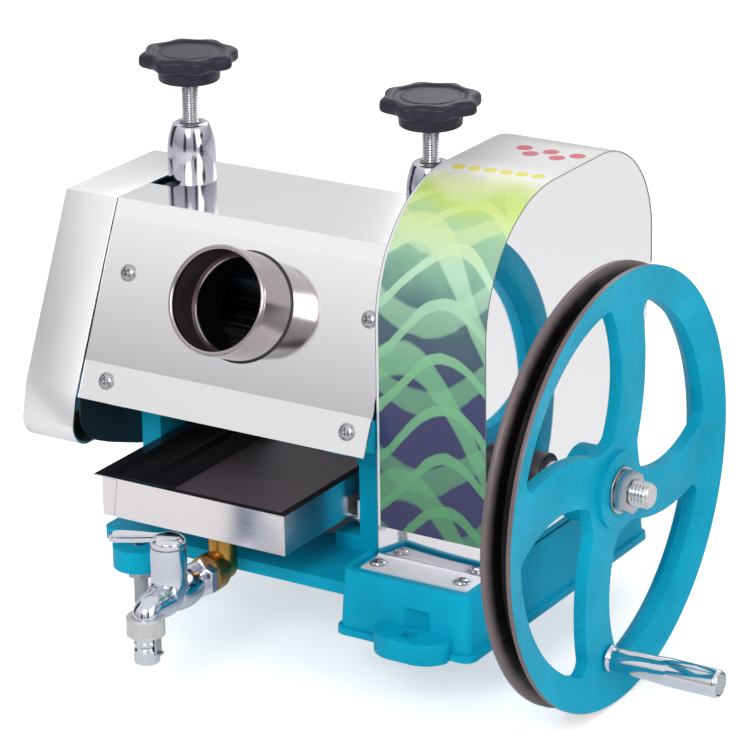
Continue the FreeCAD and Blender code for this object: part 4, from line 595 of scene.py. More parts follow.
def pipe(rows, x, count=60, turns=48, closed=True):
    """Sweep a circle in the plane of constant x: rows are (y, z, radius), bent by a smooth curve."""
    line = curve_through(rows, count)
    slope = np.gradient(line[:, :2], axis=0)
    slope /= np.linalg.norm(slope, axis=1)[:, None]
    angle = np.linspace(0.0, 2 * math.pi, turns, endpoint=False)
    side = np.stack([np.zeros(count), -slope[:, 1], slope[:, 0]], axis=1)
    centre = np.stack([np.full(count, x), line[:, 0], line[:, 1]], axis=1)
    radius = line[:, 2]
    if closed:
        centre = np.vstack([centre[:1], centre, centre[-1:]])
        side = np.vstack([side[:1], side, side[-1:]])
        radius = np.concatenate([[0.0], radius, [0.0]])
    grid = centre[:, None, :] + radius[:, None, None] * (
        np.cos(angle)[None, :, None] * np.array([1.0, 0.0, 0.0]) + np.sin(angle)[None, :, None] * side[:, None, :])
    return weave(grid, round_columns=True)


print("surface helpers ready")

# %% [markdown]
# The star knobs. Their rim is a circle whose radius swells eight times round, the hub below is
# round, and the top is dished. The swell grows with the profile's distance from the hub.

# %% Star knobs, spindles and spring columns
COLUMN_X = {"left": -265.0, "right": -68.0}
COLUMN_Y = 13.5
KNOB_BOTTOM = {"left": 323.5, "right": 318.5}
LOBES = 8
LOBE_DEPTH = 4.5
RIM = 35.5


def star(angle, profile):
    """One at the hub; at the rim the radius dips by a rounded cosine of eight times the angle."""
    rim_share = np.clip((profile[:, 0] - 23.0) / 10.0, 0.0, 1.0)[:, None]
    dip = 0.5 - 0.5 * np.cos(LOBES * angle)[None, :]
    return 1.0 - rim_share * LOBE_DEPTH / RIM * dip ** 0.8


def make_knob(side):
    """Hub, underside, lobed rim, rounded top, dish and a flat disc in its middle."""
    low = KNOB_BOTTOM[side]
    outline = [(0, low), (21.6, low), (22.5, low + 10.9), (RIM - 2.4, low + 11.0), (RIM, low + 13.0),
               (RIM - 0.3, low + 19.0), (RIM - 3.2, low + 21.4), (26.2, low + 21.5), (24.6, low + 19.7),
               (20.2, low + 19.5), (19.6, low + 20.3), (0, low + 20.4)]
    body = soften(outline, 1.6)
    piece = make_piece("Star knob " + side, [lathe(body, (COLUMN_X[side], COLUMN_Y, 0), AXES["z"], 192, star)],
                       knob_plastic, side + "_knob_body", (side + "_knob",), 40.0)
    return piece


def make_spindle(side):
    """Screwed bar from the thrust pad into the knob."""
    low, high = 259.2, KNOB_BOTTOM[side] + 12.0
    screw = thread(6.0, 0.95, 1.75, low, high, (COLUMN_X[side], COLUMN_Y, 0), AXES["z"])
    return make_piece("Threaded spindle " + side, [screw], thread_steel, side + "_knob_body",
                      (side + "_press_screw",), 50.0)


def make_columns():
    """Bullet-shaped columns: straight foot, a soft shoulder, a flat crown with a dark bush."""
    patches, bushes = [], []
    for x in COLUMN_X.values():
        straight = [(12.8, 240.0), (15.0, 240.0), (15.0, 250.5), (17.0, 250.5), (17.2, 251.2), (17.2, 271.0)]
        swell = [(17.2 - 4.3 * t ** 2.1, 271.0 + 20.4 * t) for t in np.linspace(0.08, 1.0, 14)]
        crown = [(12.2, 292.1), (11.4, 292.5), (8.0, 292.5), (8.0, 286.0), (12.6, 284.0), (12.8, 240.0)]
        profile = np.array(straight + swell + crown)
        patches.append(lathe(profile, (x, COLUMN_Y, 0), AXES["z"], 96))
        ring = soften([(6.1, 286.0), (8.0, 286.0), (8.0, 292.9), (7.4, 293.3), (6.1, 293.3), (6.1, 286.0)], 0.3)
        bushes.append(lathe(ring, (x, COLUMN_Y, 0), AXES["z"], 64))
    make_piece("Column bushes", bushes, dark_steel)
    return make_piece("Spring columns", patches, column_chrome, "frame", ("spring_columns",), 40.0)


thread_steel = new_material("Rolled thread", (0.62, 0.62, 0.64), 0.22, 1.0)[0]
column_chrome = new_material("Column chrome", (0.56, 0.56, 0.64), 0.12, 1.0)[0]
for side in ("left", "right"):
    make_knob(side)
    make_spindle(side)
make_columns()
print("knobs, spindles and columns made")

# %% [markdown]
# The throat is a thin tube with a rolled mouth. Its axis is square to the sloping panel, so the
# lathe gets a tilted set of axes. The mouth is a full round bead, with a shallow band behind it.

# %% Feed throat
TILT = math.radians(23.8)
INWARD = (0.0, math.cos(TILT), -math.sin(TILT))
PANEL_FOOT = np.array((0.0, -104.6, 120.3))
PANEL_UP = np.array((0.0, math.sin(TILT), math.cos(TILT)))
THROAT = PANEL_FOOT + 84.0 * PANEL_UP + np.array((-166.5, 0.0, 0.0))


def make_throat():
    """Outer wall, a full round bead at the mouth, inner wall and a flange behind the panel."""
    bead = [(36.2 + 1.7 * math.cos(a), -36.3 - 1.7 * math.sin(a)) for a in np.linspace(0.0, math.pi, 13)]
    outer = [(37.4, -34.6), (37.6, -33.6), (37.6, -1.0), (37.9, 1.6), (46.8, 1.6), (46.8, 3.4), (37.8, 3.4),
             (37.8, 23.3), (36.4, 23.3)]
    inner = [(36.4, 20.0), (36.4, 0.0), (36.4, -30.0), (35.4, -34.0), (34.5, -36.3)]
    profile = np.array(bead[::-1] + outer + inner)
    axes = (INWARD, (1, 0, 0), tuple(PANEL_UP))
    return make_piece("Feed throat", [lathe(profile, THROAT, axes, 128)], tube_metal, "frame",
                      ("feed_tube",), 40.0)


def make_throat_lining():
    """The inside: a dark brown sleeve, a bright step in it, and a black sheet of painted shade behind the step."""
    axes = (INWARD, (1, 0, 0), tuple(PANEL_UP))
    sleeve = [(35.3, -33.4), (36.0, -31.0), (36.0, -10.0), (34.4, -8.4)]
    step = [(34.4, -8.4), (33.8, -9.2), (33.1, -8.6), (33.0, -7.0)]
    depth = [(33.0, -7.0), (33.0, 23.0), (36.3, 23.0)]
    for name, profile, material in (("sleeve", sleeve, tube_lining), ("step", step, tube_metal),
                                    ("depth", depth, throat_depth_shade)):
        make_piece("Throat " + name, [lathe(profile, THROAT, axes, 128)], material)


def make_throat_seam():
    """A dark line of sealant where the throat meets the panel."""
    ring = [(37.6, -1.6), (38.6, -0.8), (39.1, 0.1), (37.6, 0.1), (37.6, -1.6)]
    axes = (INWARD, (1, 0, 0), tuple(PANEL_UP))
    return make_piece("Throat seam", [lathe(ring, THROAT, axes, 128)], black_collar)


tube_lining = new_material("Throat lining", (0.115, 0.080, 0.095), 0.34, 0.7)[0]
# The black behind the throat's step is painted shade.
throat_depth_shade = new_material("Painted shade in the throat", (0.002, 0.002, 0.003), 0.8, Specular_IOR_Level=0.1)[0]
make_throat()
make_throat_lining()
make_throat_seam()
print("feed throat made")

# %% [markdown]
# The gear guard is one bent band. Its path runs from the screwed foot up the front, over two
# arcs and down the back, and the band is the path times the width. It carries a UV map: across
# the width from 0 to 1, and along the path in units of the print's height.

# %% Gear guard band
GUARD_X = (-50.4, 33.0)
GUARD_SHEET = 1.2
PRINT_LOW = 19.0
PRINT_HEIGHT = 300.0


def arc(centre, radius, start, stop, count):
    """Points on an arc in the YZ plane, angles in degrees from +Y towards +Z."""
    turn = np.radians(np.linspace(start, stop, count))
    return np.stack([centre[0] + radius * np.cos(turn), centre[1] + radius * np.sin(turn)], axis=1)


def guard_path():
    """Middle line of the sheet: foot, bend, front wall, front arc, top, rear arc, bulge, rear flange."""
    half = GUARD_SHEET / 2
    foot = [(-111.4, 44.0 + half), (-91.5, 44.0 + half)]
    bend = arc((-91.2, 47.6), 3.0, -90.0, 0.0, 9)
    front = arc((1.5, 208.5), 90.0 - half, 180.0, 90.0, 48)
    rear = arc((67.5, 222.5), 76.0 - half, 90.0, 0.0, 40)
    tail = [(142.9, 200.0), (114.6, 44.0 + half), (102.0, 44.0 + half)]
    return np.vstack([foot, bend, front, rear, tail])


def make_guard():
    """Two skins half a sheet off the path, joined at both edges and both ends."""
    path = guard_path()
    step = np.linalg.norm(np.diff(path, axis=0), axis=1)
    length = np.concatenate([[0.0], np.cumsum(step)])
    slope = np.gradient(path, axis=0)
    slope /= np.linalg.norm(slope, axis=1)[:, None]
    out = np.stack([-slope[:, 1], slope[:, 0]], axis=1)
    loops = []
    for x, lift in ((GUARD_X[0], 0.5), (GUARD_X[0] + 0.25, 0.6), (GUARD_X[1] - 0.25, 0.6), (GUARD_X[1], 0.5),
                    (GUARD_X[1], -0.5), (GUARD_X[1] - 0.25, -0.6), (GUARD_X[0] + 0.25, -0.6),
                    (GUARD_X[0], -0.5)):
        place = path + out * lift
        loops.append(np.column_stack([np.full(len(path), x), place]))
    grid = np.stack(loops, axis=1)
    patches = [weave(grid, round_columns=True)]
    for row in (grid[0], grid[-1]):
        patches.append(weave(np.stack([row[:4], row[:3:-1]])))
    piece = make_piece("Guard band", patches, guard_print, "frame", ("gear_guard",), 28.0)
    mesh = piece.data
    place = np.empty(len(mesh.vertices) * 3)
    mesh.vertices.foreach_get("co", place)
    place = place.reshape(-1, 3) / MM
    nearest = np.argmin(((place[:, None, 1:] - path[None]) ** 2).sum(axis=2), axis=1)
    across = (place[:, 0] - GUARD_X[0]) / (GUARD_X[1] - GUARD_X[0])
    along = (length[nearest] - length[10] - PRINT_LOW) / PRINT_HEIGHT
    corner = np.empty(len(mesh.loops), dtype=np.int32)
    mesh.loops.foreach_get("vertex_index", corner)
    layer = mesh.uv_layers.new(name="Band")
    layer.data.foreach_set("uv", np.stack([across[corner], along[corner]], axis=1).ravel())
    return piece


def ribbon_mask(tree, u, v, bands, swing, waves, shift, width):
    """Soft ribbons: a sine of bands times v plus swing times a sine of waves times u."""
    inner = add_node(tree, "ShaderNodeMath", {0: u}, {1: waves, 2: shift}, operation="MULTIPLY_ADD")
    wave = add_node(tree, "ShaderNodeMath", {0: inner.outputs[0]}, operation="SINE")
    lean = add_node(tree, "ShaderNodeMath", {0: wave.outputs[0]}, {1: swing, 2: shift},
                    operation="MULTIPLY_ADD")
    phase = add_node(tree, "ShaderNodeMath", {0: v, 2: lean.outputs[0]}, {1: bands}, operation="MULTIPLY_ADD")
    crest = add_node(tree, "ShaderNodeMath", {0: phase.outputs[0]}, operation="SINE")
    return add_node(tree, "ShaderNodeMapRange", {"Value": crest.outputs[0]},
                    {"From Min": 1.0 - width, "From Max": 1.0 - 0.55 * width},
                    interpolation_type="SMOOTHSTEP").outputs["Result"]


def blend(tree, share, first, second):
    """Mix two colours by a share; the second may be a plain colour or a socket."""
    mix = add_node(tree, "ShaderNodeMix", {"Factor": share}, data_type="RGBA")
    tree.links.new(first, mix.inputs["A"])
    if isinstance(second, tuple):
        mix.inputs["B"].default_value = (*second, 1.0)
    else:
        tree.links.new(second, mix.inputs["B"])
    return mix.outputs["Result"]


def below(tree, value, limit):
    """One where a value lies below a limit."""
    return add_node(tree, "ShaderNodeMath", {0: value}, {1: limit}, operation="LESS_THAN").outputs[0]


def fill_ramp(tree, value, stops):
    """A colour ramp with any number of (position, colour) stops."""
    ramp = add_node(tree, "ShaderNodeValToRGB", {"Fac": value})
    while len(ramp.color_ramp.elements) < len(stops):
        ramp.color_ramp.elements.new(0.5)
    for element, (position, color) in zip(ramp.color_ramp.elements, stops):
        element.position = position
        element.color = (*color, 1.0)
    return ramp.outputs["Color"]


GROUND = ((0.08, (0.050, 0.048, 0.125)), (0.36, (0.055, 0.060, 0.150)), (0.50, (0.080, 0.140, 0.170)),
          (0.62, (0.230, 0.440, 0.330)), (0.72, (0.420, 0.660, 0.400)), (0.80, (0.560, 0.740, 0.180)),
          (0.87, (0.830, 0.880, 0.560)), (0.91, (0.880, 0.880, 0.870)), (1.00, (0.720, 0.720, 0.725)))
INK = ((0.05, (0.110, 0.330, 0.150)), (0.40, (0.230, 0.540, 0.290)), (0.62, (0.560, 0.800, 0.590)),
       (0.80, (0.760, 0.860, 0.280)))
RIBBONS = ((34.0, 3.0, 2.7, 0.5, 0.60, 0.60), (52.0, 4.2, 3.9, 2.2, 0.32, 0.85), (21.0, 5.0, 2.1, 4.2, 0.42, 0.75))
FOOT_START = -0.068


def make_guard_print():
    """White at the top fades through lime and mint into violet; soft ribbons wave across it.

    The sheet is bare below the print and above it. The bare strip of the wall is a mirror, which
    shows the screwed foot in front of it, and the foot itself is satin.
    """
    material, tree, shader = new_material("Guard print", (0.9, 0.9, 0.9), 0.24, Specular_IOR_Level=0.25)
    chart = add_node(tree, "ShaderNodeUVMap", uv_map="Band").outputs["UV"]
    parts = add_node(tree, "ShaderNodeSeparateXYZ", {"Vector": chart})
    u, v = parts.outputs["X"], parts.outputs["Y"]
    even = add_node(tree, "ShaderNodeVectorMath", {0: chart}, {1: (0.278, 1.0, 0.0)}, operation="MULTIPLY")
    cloud = add_node(tree, "ShaderNodeTexNoise", {"Vector": even.outputs[0]}, {"Scale": 7.0, "Detail": 4.0})
    drift = add_node(tree, "ShaderNodeMath", {0: cloud.outputs["Fac"]}, {1: 0.5}, operation="SUBTRACT")
    level = add_node(tree, "ShaderNodeMath", {0: drift.outputs[0], 2: v}, {1: 0.16},
                     operation="MULTIPLY_ADD").outputs[0]
    color = fill_ramp(tree, level, GROUND)
    ink = fill_ramp(tree, v, INK)
    fade = add_node(tree, "ShaderNodeMapRange", {"Value": level}, {"From Min": 0.88, "From Max": 0.74})
    eased = add_node(tree, "ShaderNodeMath", {0: drift.outputs[0], 2: v}, {1: 0.035},
                     operation="MULTIPLY_ADD").outputs[0]
    for bands, swing, waves, shift, width, strength in RIBBONS:
        mask = ribbon_mask(tree, u, eased, bands, swing, waves, shift, width)
        kept = add_node(tree, "ShaderNodeMath", {0: mask, 1: fade.outputs["Result"]}, operation="MULTIPLY")
        thin = add_node(tree, "ShaderNodeMath", {0: kept.outputs[0]}, {1: strength}, operation="MULTIPLY")
        color = blend(tree, thin.outputs[0], color, ink)
    for centre, radius, paint in DOTS:
        shift = add_node(tree, "ShaderNodeVectorMath", {0: even.outputs[0]}, {1: centre}, operation="SUBTRACT")
        far = add_node(tree, "ShaderNodeVectorMath", {0: shift.outputs[0]}, operation="LENGTH")
        color = blend(tree, below(tree, far.outputs["Value"], radius), color, paint)
    color = blend(tree, below(tree, u, 0.022), color, (0.78, 0.80, 0.84))
    wall, foot = below(tree, v, 0.0), below(tree, v, FOOT_START)
    color = blend(tree, wall, color, (0.80, 0.78, 0.82))
    mirror = add_node(tree, "ShaderNodeMath", {0: wall, 1: foot}, operation="SUBTRACT")
    gloss = add_node(tree, "ShaderNodeMapRange", {"Value": mirror.outputs[0]}, {"To Min": 0.24, "To Max": 0.06})
    tree.links.new(color, shader.inputs["Base Color"])
    tree.links.new(mirror.outputs[0], shader.inputs["Metallic"])
    tree.links.new(gloss.outputs["Result"], shader.inputs["Roughness"])
    return material


def make_guard_seam():
    """A thin dark line along both edges of the band, where the side sheets meet it."""
    path = guard_path()[10:-2]
    slope = np.gradient(path, axis=0)
    slope /= np.linalg.norm(slope, axis=1)[:, None]
    out = np.stack([-slope[:, 1], slope[:, 0]], axis=1)
    patches = []
    for edge, way in ((GUARD_X[0], -1.0), (GUARD_X[1], 1.0)):
        loops = [np.column_stack([np.full(len(path), edge + way * side), path + out * lift])
                 for side, lift in ((0.0, 0.1), (0.5, 0.1), (0.5, 0.5), (0.0, 0.5))]
        patches.append(weave(np.stack(loops, axis=1), round_columns=True))
    return make_piece("Guard seam", patches, dark_steel, angle=60.0)


RED = (0.62, 0.02, 0.06)
YELLOW = (0.80, 0.70, 0.02)
DOTS = [((0.048 + 0.038 * k, 0.925 + 0.004 * k, 0.0), 0.0165, YELLOW) for k in range(6)]
DOTS += [((0.105 + 0.034 * k, 1.120 - 0.034 * (k % 2), 0.0), 0.0190, RED) for k in range(5)]
guard_print = make_guard_print()
make_guard()
make_guard_seam()
print("guard band made")

# %% [markdown]
# Screws show that a machine is put together. A pan head is a low dome; the cross in it is a dent
# wherever a point lies in one of two bars. The same short function makes every visible head.

# %% Screw heads
def pan_head(centre, axes, radius=5.0, rise=2.6, washer=6.2, turn=0.4):
    """Washer, domed head and a cross recess, as one turned grid."""
    rows = [(0.0, 0.0), (washer, 0.0), (washer, 0.7), (radius + 0.2, 0.8), (radius, 1.0)]
    rows += [(radius * math.cos(a), 0.9 + (rise - 0.9) * math.sin(a)) for a in np.linspace(0.2, 1.45, 18)]
    rows.append((0.0, rise))
    points, quads = lathe(rows, (0.0, 0.0, 0.0), AXES["z"], 72)
    spread = radius * 0.55
    across = points[:, 0] * math.cos(turn) + points[:, 1] * math.sin(turn)
    upward = points[:, 1] * math.cos(turn) - points[:, 0] * math.sin(turn)
    bar = radius * 0.14
    cross = ((np.abs(across) < bar) & (np.abs(upward) < spread)) | ((np.abs(upward) < bar) & (np.abs(across) < spread))
    deep = cross & (points[:, 2] > 1.2)
    points[deep, 2] -= rise * 0.55
    along, side, up = (np.array(axis, dtype=float) for axis in axes)
    placed = np.array(centre, dtype=float) + points[:, 2:3] * along + points[:, 0:1] * side + points[:, 1:2] * up
    return placed, quads


def make_panel_heads():
    """Eight heads on the sloping sheets."""
    patches = []
    for x in (-265.0, -68.0):
        for slant, turn in ((15.2, 0.3), (91.7, 1.0)):
            for back in (False, True):
                place = PANEL_FOOT + slant * PANEL_UP
                axes = (tuple(-np.array(INWARD)), (1, 0, 0), tuple(PANEL_UP))
                if back:
                    place = place * np.array([1, -1, 1]) + np.array([0, 11.0, 0])
                    axes = tuple(tuple(np.array(axis) * np.array([1, -1, 1])) for axis in axes)
                patches.append(pan_head(place + np.array([x, 0, 0]), axes, turn=turn))
    return make_piece("Panel screw heads", patches, zinc, "frame", ("panel_screws",), 30.0)


def make_foot_heads():
    """Two pan heads that hold the guard's foot, and two screws of the end cover."""
    patches = [pan_head((x, -101.0, 45.2), AXES["z"], 5.2, 3.0, 6.0, turn)
               for x, turn in ((-43.0, 0.7), (21.5, 0.2))]
    for y in (-45.2, 56.2):
        patches.append(pan_head((-330.0, y, 227.0), ((-1, 0, 0), (0, 1, 0), (0, 0, 1)), 4.4, 2.4, 4.8))
    return make_piece("Foot screw heads", patches, zinc, "frame", ("cover_screws",), 30.0)


make_panel_heads()
make_foot_heads()
print("screw heads made")

# %% [markdown]
# A hexagon is a radius that depends on the angle, and a chamfer is a cone that cuts it. Taking
# the smaller of the two at every point draws the curved edges that a turned nut has.

# %% Hub nut, shaft and crank handle
SHAFT_YZ = (-43.5, 109.0)


def hex_nut(flats, low, high, bore, centre, axes, washer_face=0.0, turns=144):
    """Rows of height; the radius is the smaller of the hexagon and the chamfer cone."""
    angle = np.linspace(0.0, 2 * math.pi, turns, endpoint=False)
    hexagon = flats / 2 / np.cos((angle + math.pi / 6) % (math.pi / 3) - math.pi / 6)
    height = np.concatenate([np.linspace(low, low + 2.2, 7), np.linspace(high - 2.6, high, 10)])
    cone = flats / 2 * 0.985 + np.minimum((height - low) * 1.9, (high - height) * 1.9)
    shell = np.minimum(hexagon[None, :], cone[:, None])
    rows = np.vstack([np.full((1, turns), bore), shell, np.full((1, turns), bore + 0.8),
                      np.full((1, turns), bore)])
    height = np.concatenate([[low], height, [high], [high - 0.8]])
    along, across, upward = (np.array(axis, dtype=float) for axis in axes)
    grid = (np.array(centre, dtype=float) + height[:, None, None] * along
            + rows[..., None] * (np.cos(angle)[:, None] * across + np.sin(angle)[:, None] * upward))
    return weave(grid, round_rows=True, round_columns=True)


def make_hub():
    """Washer and chamfered nut on the screwed end of the shaft."""
    centre = (0.0, *SHAFT_YZ)
    washer = soften([(9.3, 109.2), (16.0, 109.2), (16.0, 111.2), (9.3, 111.2), (9.3, 109.2)], 0.4)
    nut = hex_nut(27.0, 111.2, 120.2, 8.4, centre, AXES["x"])
    make_piece("Hub nut and washer", [nut, lathe(washer, centre, AXES["x"], 96)], zinc,
               "flywheel_body", ("hub_nut",), 30.0)
    bar = [(0.0, -83.0), (10.0, -83.0), (10.0, 109.1), (8.0, 109.1)]
    screw = thread(9.0, 1.3, 2.5, 108.0, 132.4, centre, AXES["x"], 48, 9)
    return make_piece("Screwed shaft", [lathe(bar, centre, AXES["x"], 64), screw], thread_steel,
                      "flywheel_body", ("drive_shaft",), 45.0)


def make_handle():
    """Tapered sleeve with a bead at its base, a straight grip and a chamfered end with a button."""
    centre = (0.0, -51.0, -10.0)
    grip = [(4.1, 106.0), (9.2, 106.0), (9.4, 108.4), (7.6, 109.2), (7.4, 112.0), (7.9, 114.0), (8.8, 140.0),
            (9.7, 152.0), (9.7, 187.4), (8.7, 189.0), (7.9, 189.0), (7.9, 185.6), (4.1, 185.4), (4.1, 106.0)]
    make_piece("Crank handle sleeve", [lathe(soften(grip, 1.2), centre, AXES["x"], 96)], chrome,
               "handle_body", ("crank_handle",), 38.0)
    stud = [(0.0, 87.5), (4.0, 87.5), (4.0, 185.5), (7.5, 185.5), (7.5, 188.2), (6.7, 189.0), (1.4, 189.0),
            (0.9, 188.2), (0.0, 188.2)]
    return make_piece("Crank handle stud", [lathe(soften(stud, 0.3), centre, AXES["x"], 64)], zinc,
                      "flywheel_body", ("handle_stud",), 38.0)


make_hub()
make_handle()
print("hub and handle made")

# %% [markdown]
# The tap is a casting with one flowing line: an upright barrel that leans forward into a bent
# spout. Its middle line is a smooth curve whose rows also hold the radius, so one sweep makes
# it all. The inlet is a second sweep, and the ring below is a turned band with fine knurls.

# %% Tap
TAP_X = -151.5
BARREL_Y = -190.5
SPOUT_Y = -219.2


def make_tap_body():
    """Barrel and spout in one sweep, the swelling inlet in another, and the inlet's hexagon."""
    spout = [(-190.5, 67.8, 12.0), (-190.5, 60.0, 12.3), (-190.5, 48.0, 12.3), (-191.6, 39.5, 12.6),
             (-197.0, 33.0, 12.3), (-206.0, 32.2, 11.0), (-213.5, 31.8, 9.9), (-218.3, 29.0, 9.3),
             (-219.2, 25.0, 9.1)]
    inlet = [(-139.6, 31.0, 8.9), (-150.0, 31.0, 8.9), (-158.6, 31.0, 9.2), (-166.0, 31.0, 11.2),
             (-174.0, 31.4, 13.0), (-182.0, 32.4, 13.4), (-190.0, 34.0, 12.4), (-196.0, 34.5, 9.0)]
    hexagon = hex_nut(24.0, 149.5, 158.5, 8.0, (TAP_X, 0.0, 31.0), AXES["y"])
    bonnet = soften([(0.0, 68.0), (11.6, 68.0), (11.9, 66.8), (12.1, 66.0), (0.0, 66.0)], 0.4)
    patches = [pipe(spout, TAP_X, 90, 64), pipe(inlet, TAP_X, 60, 56), hexagon,
               lathe(bonnet, (TAP_X, BARREL_Y, 0.0), AXES["z"], 64)]
    return make_piece("Tap casting", patches, soft_chrome, "tray_body", ("tap_body",), 45.0)


def make_tap_ring():
    """Knurled band between two smooth lips, under the spout."""
    def knurl(angle, profile):
        """One on the lips; between them the radius dips with forty-eight fine waves."""
        inside = ((profile[:, 1] > 17.4) & (profile[:, 1] < 26.6) & (profile[:, 0] > 12.0))[:, None]
        return 1.0 - inside * 0.035 * (0.5 - 0.5 * np.cos(48 * angle)[None, :])

    rows = [(8.0, 15.4), (12.4, 15.4), (13.0, 16.0), (13.0, 17.2), (12.8, 17.5), (12.8, 26.5), (13.0, 26.8),
            (13.0, 27.8), (12.4, 28.4), (9.3, 28.4), (8.0, 27.0), (8.0, 15.4)]
    return make_piece("Coupling ring", [lathe(rows, (TAP_X, SPOUT_Y, 0.0), AXES["z"], 288, knurl)], dull_zinc,
                      "tray_body", ("tap_ring",), 40.0)


def make_nozzle():
    """Short hose end with a groove and two bands."""
    rows = [(5.5, -4.6), (8.2, -4.6), (8.7, -4.0), (8.7, 5.0), (8.0, 5.6), (7.4, 6.4), (7.4, 7.6), (8.0, 8.2),
            (8.4, 8.6), (8.4, 10.6), (7.9, 11.2), (7.9, 15.4), (5.5, 15.4), (5.5, -4.6)]
    return make_piece("Hose nozzle", [lathe(soften(rows, 0.35), (TAP_X, SPOUT_Y, 0.0), AXES["z"], 96)], chrome,
                      "tray_body", ("tap_nozzle",), 40.0)


LEVER_TURN = math.radians(205.0)


def make_lever():
    """A cap over the barrel and a paddle: its width swells along it, and its edges curl upward."""
    cap = soften([(0.0, 75.0), (8.5, 74.9), (11.6, 72.6), (11.8, 69.0), (11.4, 68.2), (0.0, 68.2)], 1.2)
    patches = [lathe(cap, (TAP_X, BARREL_Y, 0.0), AXES["z"], 72)]
    t = np.linspace(0.0, 1.0, 30)
    run = 3.0 + 37.0 * t
    half = 5.2 + 2.3 * np.sin(math.pi * np.clip((t - 0.25) / 1.1, 0.0, 1.0)) ** 0.8
    half = half * np.sqrt(np.clip(1.0 - np.clip((t - 0.80) / 0.20, 0.0, 1.0) ** 2, 0.01, 1.0))
    u = np.linspace(-1.0, 1.0, 17)
    across = half[:, None] * u[None, :]
    rise = 74.2 + 0.8 * np.abs(u)[None, :] ** 3 - 1.6 * t[:, None] * (1.0 - u[None, :] ** 2)
    for lift, thick in ((0.0, 0.0), (1.0, -2.6)):
        height = rise + thick
        x = TAP_X + run[:, None] * math.cos(LEVER_TURN) - across * math.sin(LEVER_TURN)
        y = BARREL_Y + run[:, None] * math.sin(LEVER_TURN) + across * math.cos(LEVER_TURN)
        patches.append(np.stack([x, y, height], axis=-1))
    top, under = patches.pop(1), patches.pop(1)
    loop = np.concatenate([top, under[:, ::-1]], axis=1)
    first = np.stack([top[0], under[0]])
    last = np.stack([top[-1], under[-1]])
    patches += [weave(loop, round_columns=True), weave(first), weave(last)]
    return make_piece("Tap lever", patches, chrome, "lever_body", ("tap_lever",), 40.0)


make_tap_body()
make_tap_ring()
make_nozzle()
make_lever()
print("tap made")

# %% [markdown]
# The tray's corners are closed by folded tabs: thin triangles and strips that lie on its front
# face. They are flat plates a little thinner than the sheet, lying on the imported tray.

# %% Tray corner tabs
def plate(outline, y0, y1):
    """A thin plate in the XZ plane between two y values."""
    outline = np.array(outline, dtype=float)
    rings = [np.column_stack([outline[:, 0], np.full(len(outline), y), outline[:, 1]]) for y in (y0, y1)]
    middle = [ring.mean(axis=0)[None, :].repeat(len(outline), axis=0) for ring in rings]
    return weave(np.stack([middle[0], rings[0], rings[1], middle[1]]), round_columns=True)


def paint_tray():
    """Floor and inside walls get dark finishes of painted shade and reflection: faces that look up, or lie inside the
    outer walls.
    """
    mesh = nodes["juice_tray"].data
    mesh.materials.append(tray_floor_shade)
    mesh.materials.append(tray_wall_shade)
    count = len(mesh.polygons)
    centre, normal = np.empty(count * 3), np.empty(count * 3)
    mesh.polygons.foreach_get("center", centre)
    mesh.polygons.foreach_get("normal", normal)
    centre, normal = centre.reshape(-1, 3) / MM, normal.reshape(-1, 3)
    low, high = centre.min(axis=0), centre.max(axis=0)
    inside = ((centre[:, 0] > low[0] + 0.5) & (centre[:, 0] < high[0] - 0.5)
              & (centre[:, 1] > low[1] + 0.5) & (centre[:, 1] < high[1] - 0.5) & (centre[:, 2] > low[2] + 0.5))
    index = np.where(inside, 2, 0)
    index[inside & (normal[:, 2] > 0.9) & (centre[:, 2] < low[2] + 4.0)] = 1
    index[(normal[:, 2] > 0.9) & (centre[:, 2] > high[2] - 0.5)] = 2
    mesh.polygons.foreach_set("material_index", index.astype(np.int32))
    return np.bincount(index)


def make_tray_ledge():
    """A folded ledge along the left wall and a flat lip inside the front and right walls, in the walls' dark painted
    shade.
    """
    rows = np.array([(-238.2, 79.0), (-231.5, 79.4), (-229.8, 78.2), (-229.0, 72.0), (-224.0, 71.4),
                     (-222.6, 70.0), (-221.6, 58.2)])
    back = rows + np.array([0.0, -0.7])
    loop = np.vstack([rows, back[::-1]])
    ends = [np.column_stack([loop[:, 0], np.full(len(loop), y), loop[:, 1]]) for y in (-140.8, 60.0)]
    grid = np.stack(ends)
    lips = [block((-238.0, -92.0), (-141.0, -135.0), (82.2, 82.9)),
            block((-98.0, -92.2), (-135.0, 70.0), (82.2, 82.9))]
    return make_piece("Tray ledge", [weave(grid, round_columns=True), *lips], tray_wall_shade, "tray_body",
                      angle=20.0)


def block(x, y, z):
    """The six sides of a box as two woven patches."""
    ring = [(x[0], y[0]), (x[1], y[0]), (x[1], y[1]), (x[0], y[1])]
    walls = np.array([[(a, b, height) for a, b in ring] for height in (z[0], z[0], z[1], z[1])], dtype=float)
    middle = np.array([sum(x) / 2, sum(y) / 2])
    walls[0, :, :2] = middle
    walls[3, :, :2] = middle
    return weave(walls, round_columns=True)


def make_tabs():
    """A slanted tab at each front corner."""
    right = plate([(-91.0, 56.0), (-91.0, 83.2), (-106.0, 83.2), (-100.5, 56.0)], -143.2, -142.5)
    left = plate([(-239.0, 56.0), (-239.0, 83.2), (-227.0, 83.2), (-230.5, 56.0)], -143.2, -142.5)
    return make_piece("Tray corner tabs", [right, left], tray_metal, "tray_body")


print("faces of the tray by finish:", paint_tray())
make_tray_ledge()
make_tabs()
print("tray tabs made")

# %% [markdown]
# Two dark sheets close what the castings leave open: a rounded liner beside the end cover, and
# an apron across the base under the tray, which is painted shade for the dark under the housing.

# %% Liner and apron
LINER = ((-105.5, 119.0), (-105.5, 104.0), (-102.5, 95.5), (-96.5, 88.5), (-88.0, 83.0), (-74.0, 77.0),
         (-52.0, 69.0), (-36.0, 63.5), (-28.0, 62.0), (-24.0, 64.0), (-22.0, 68.0), (-22.0, 119.0))


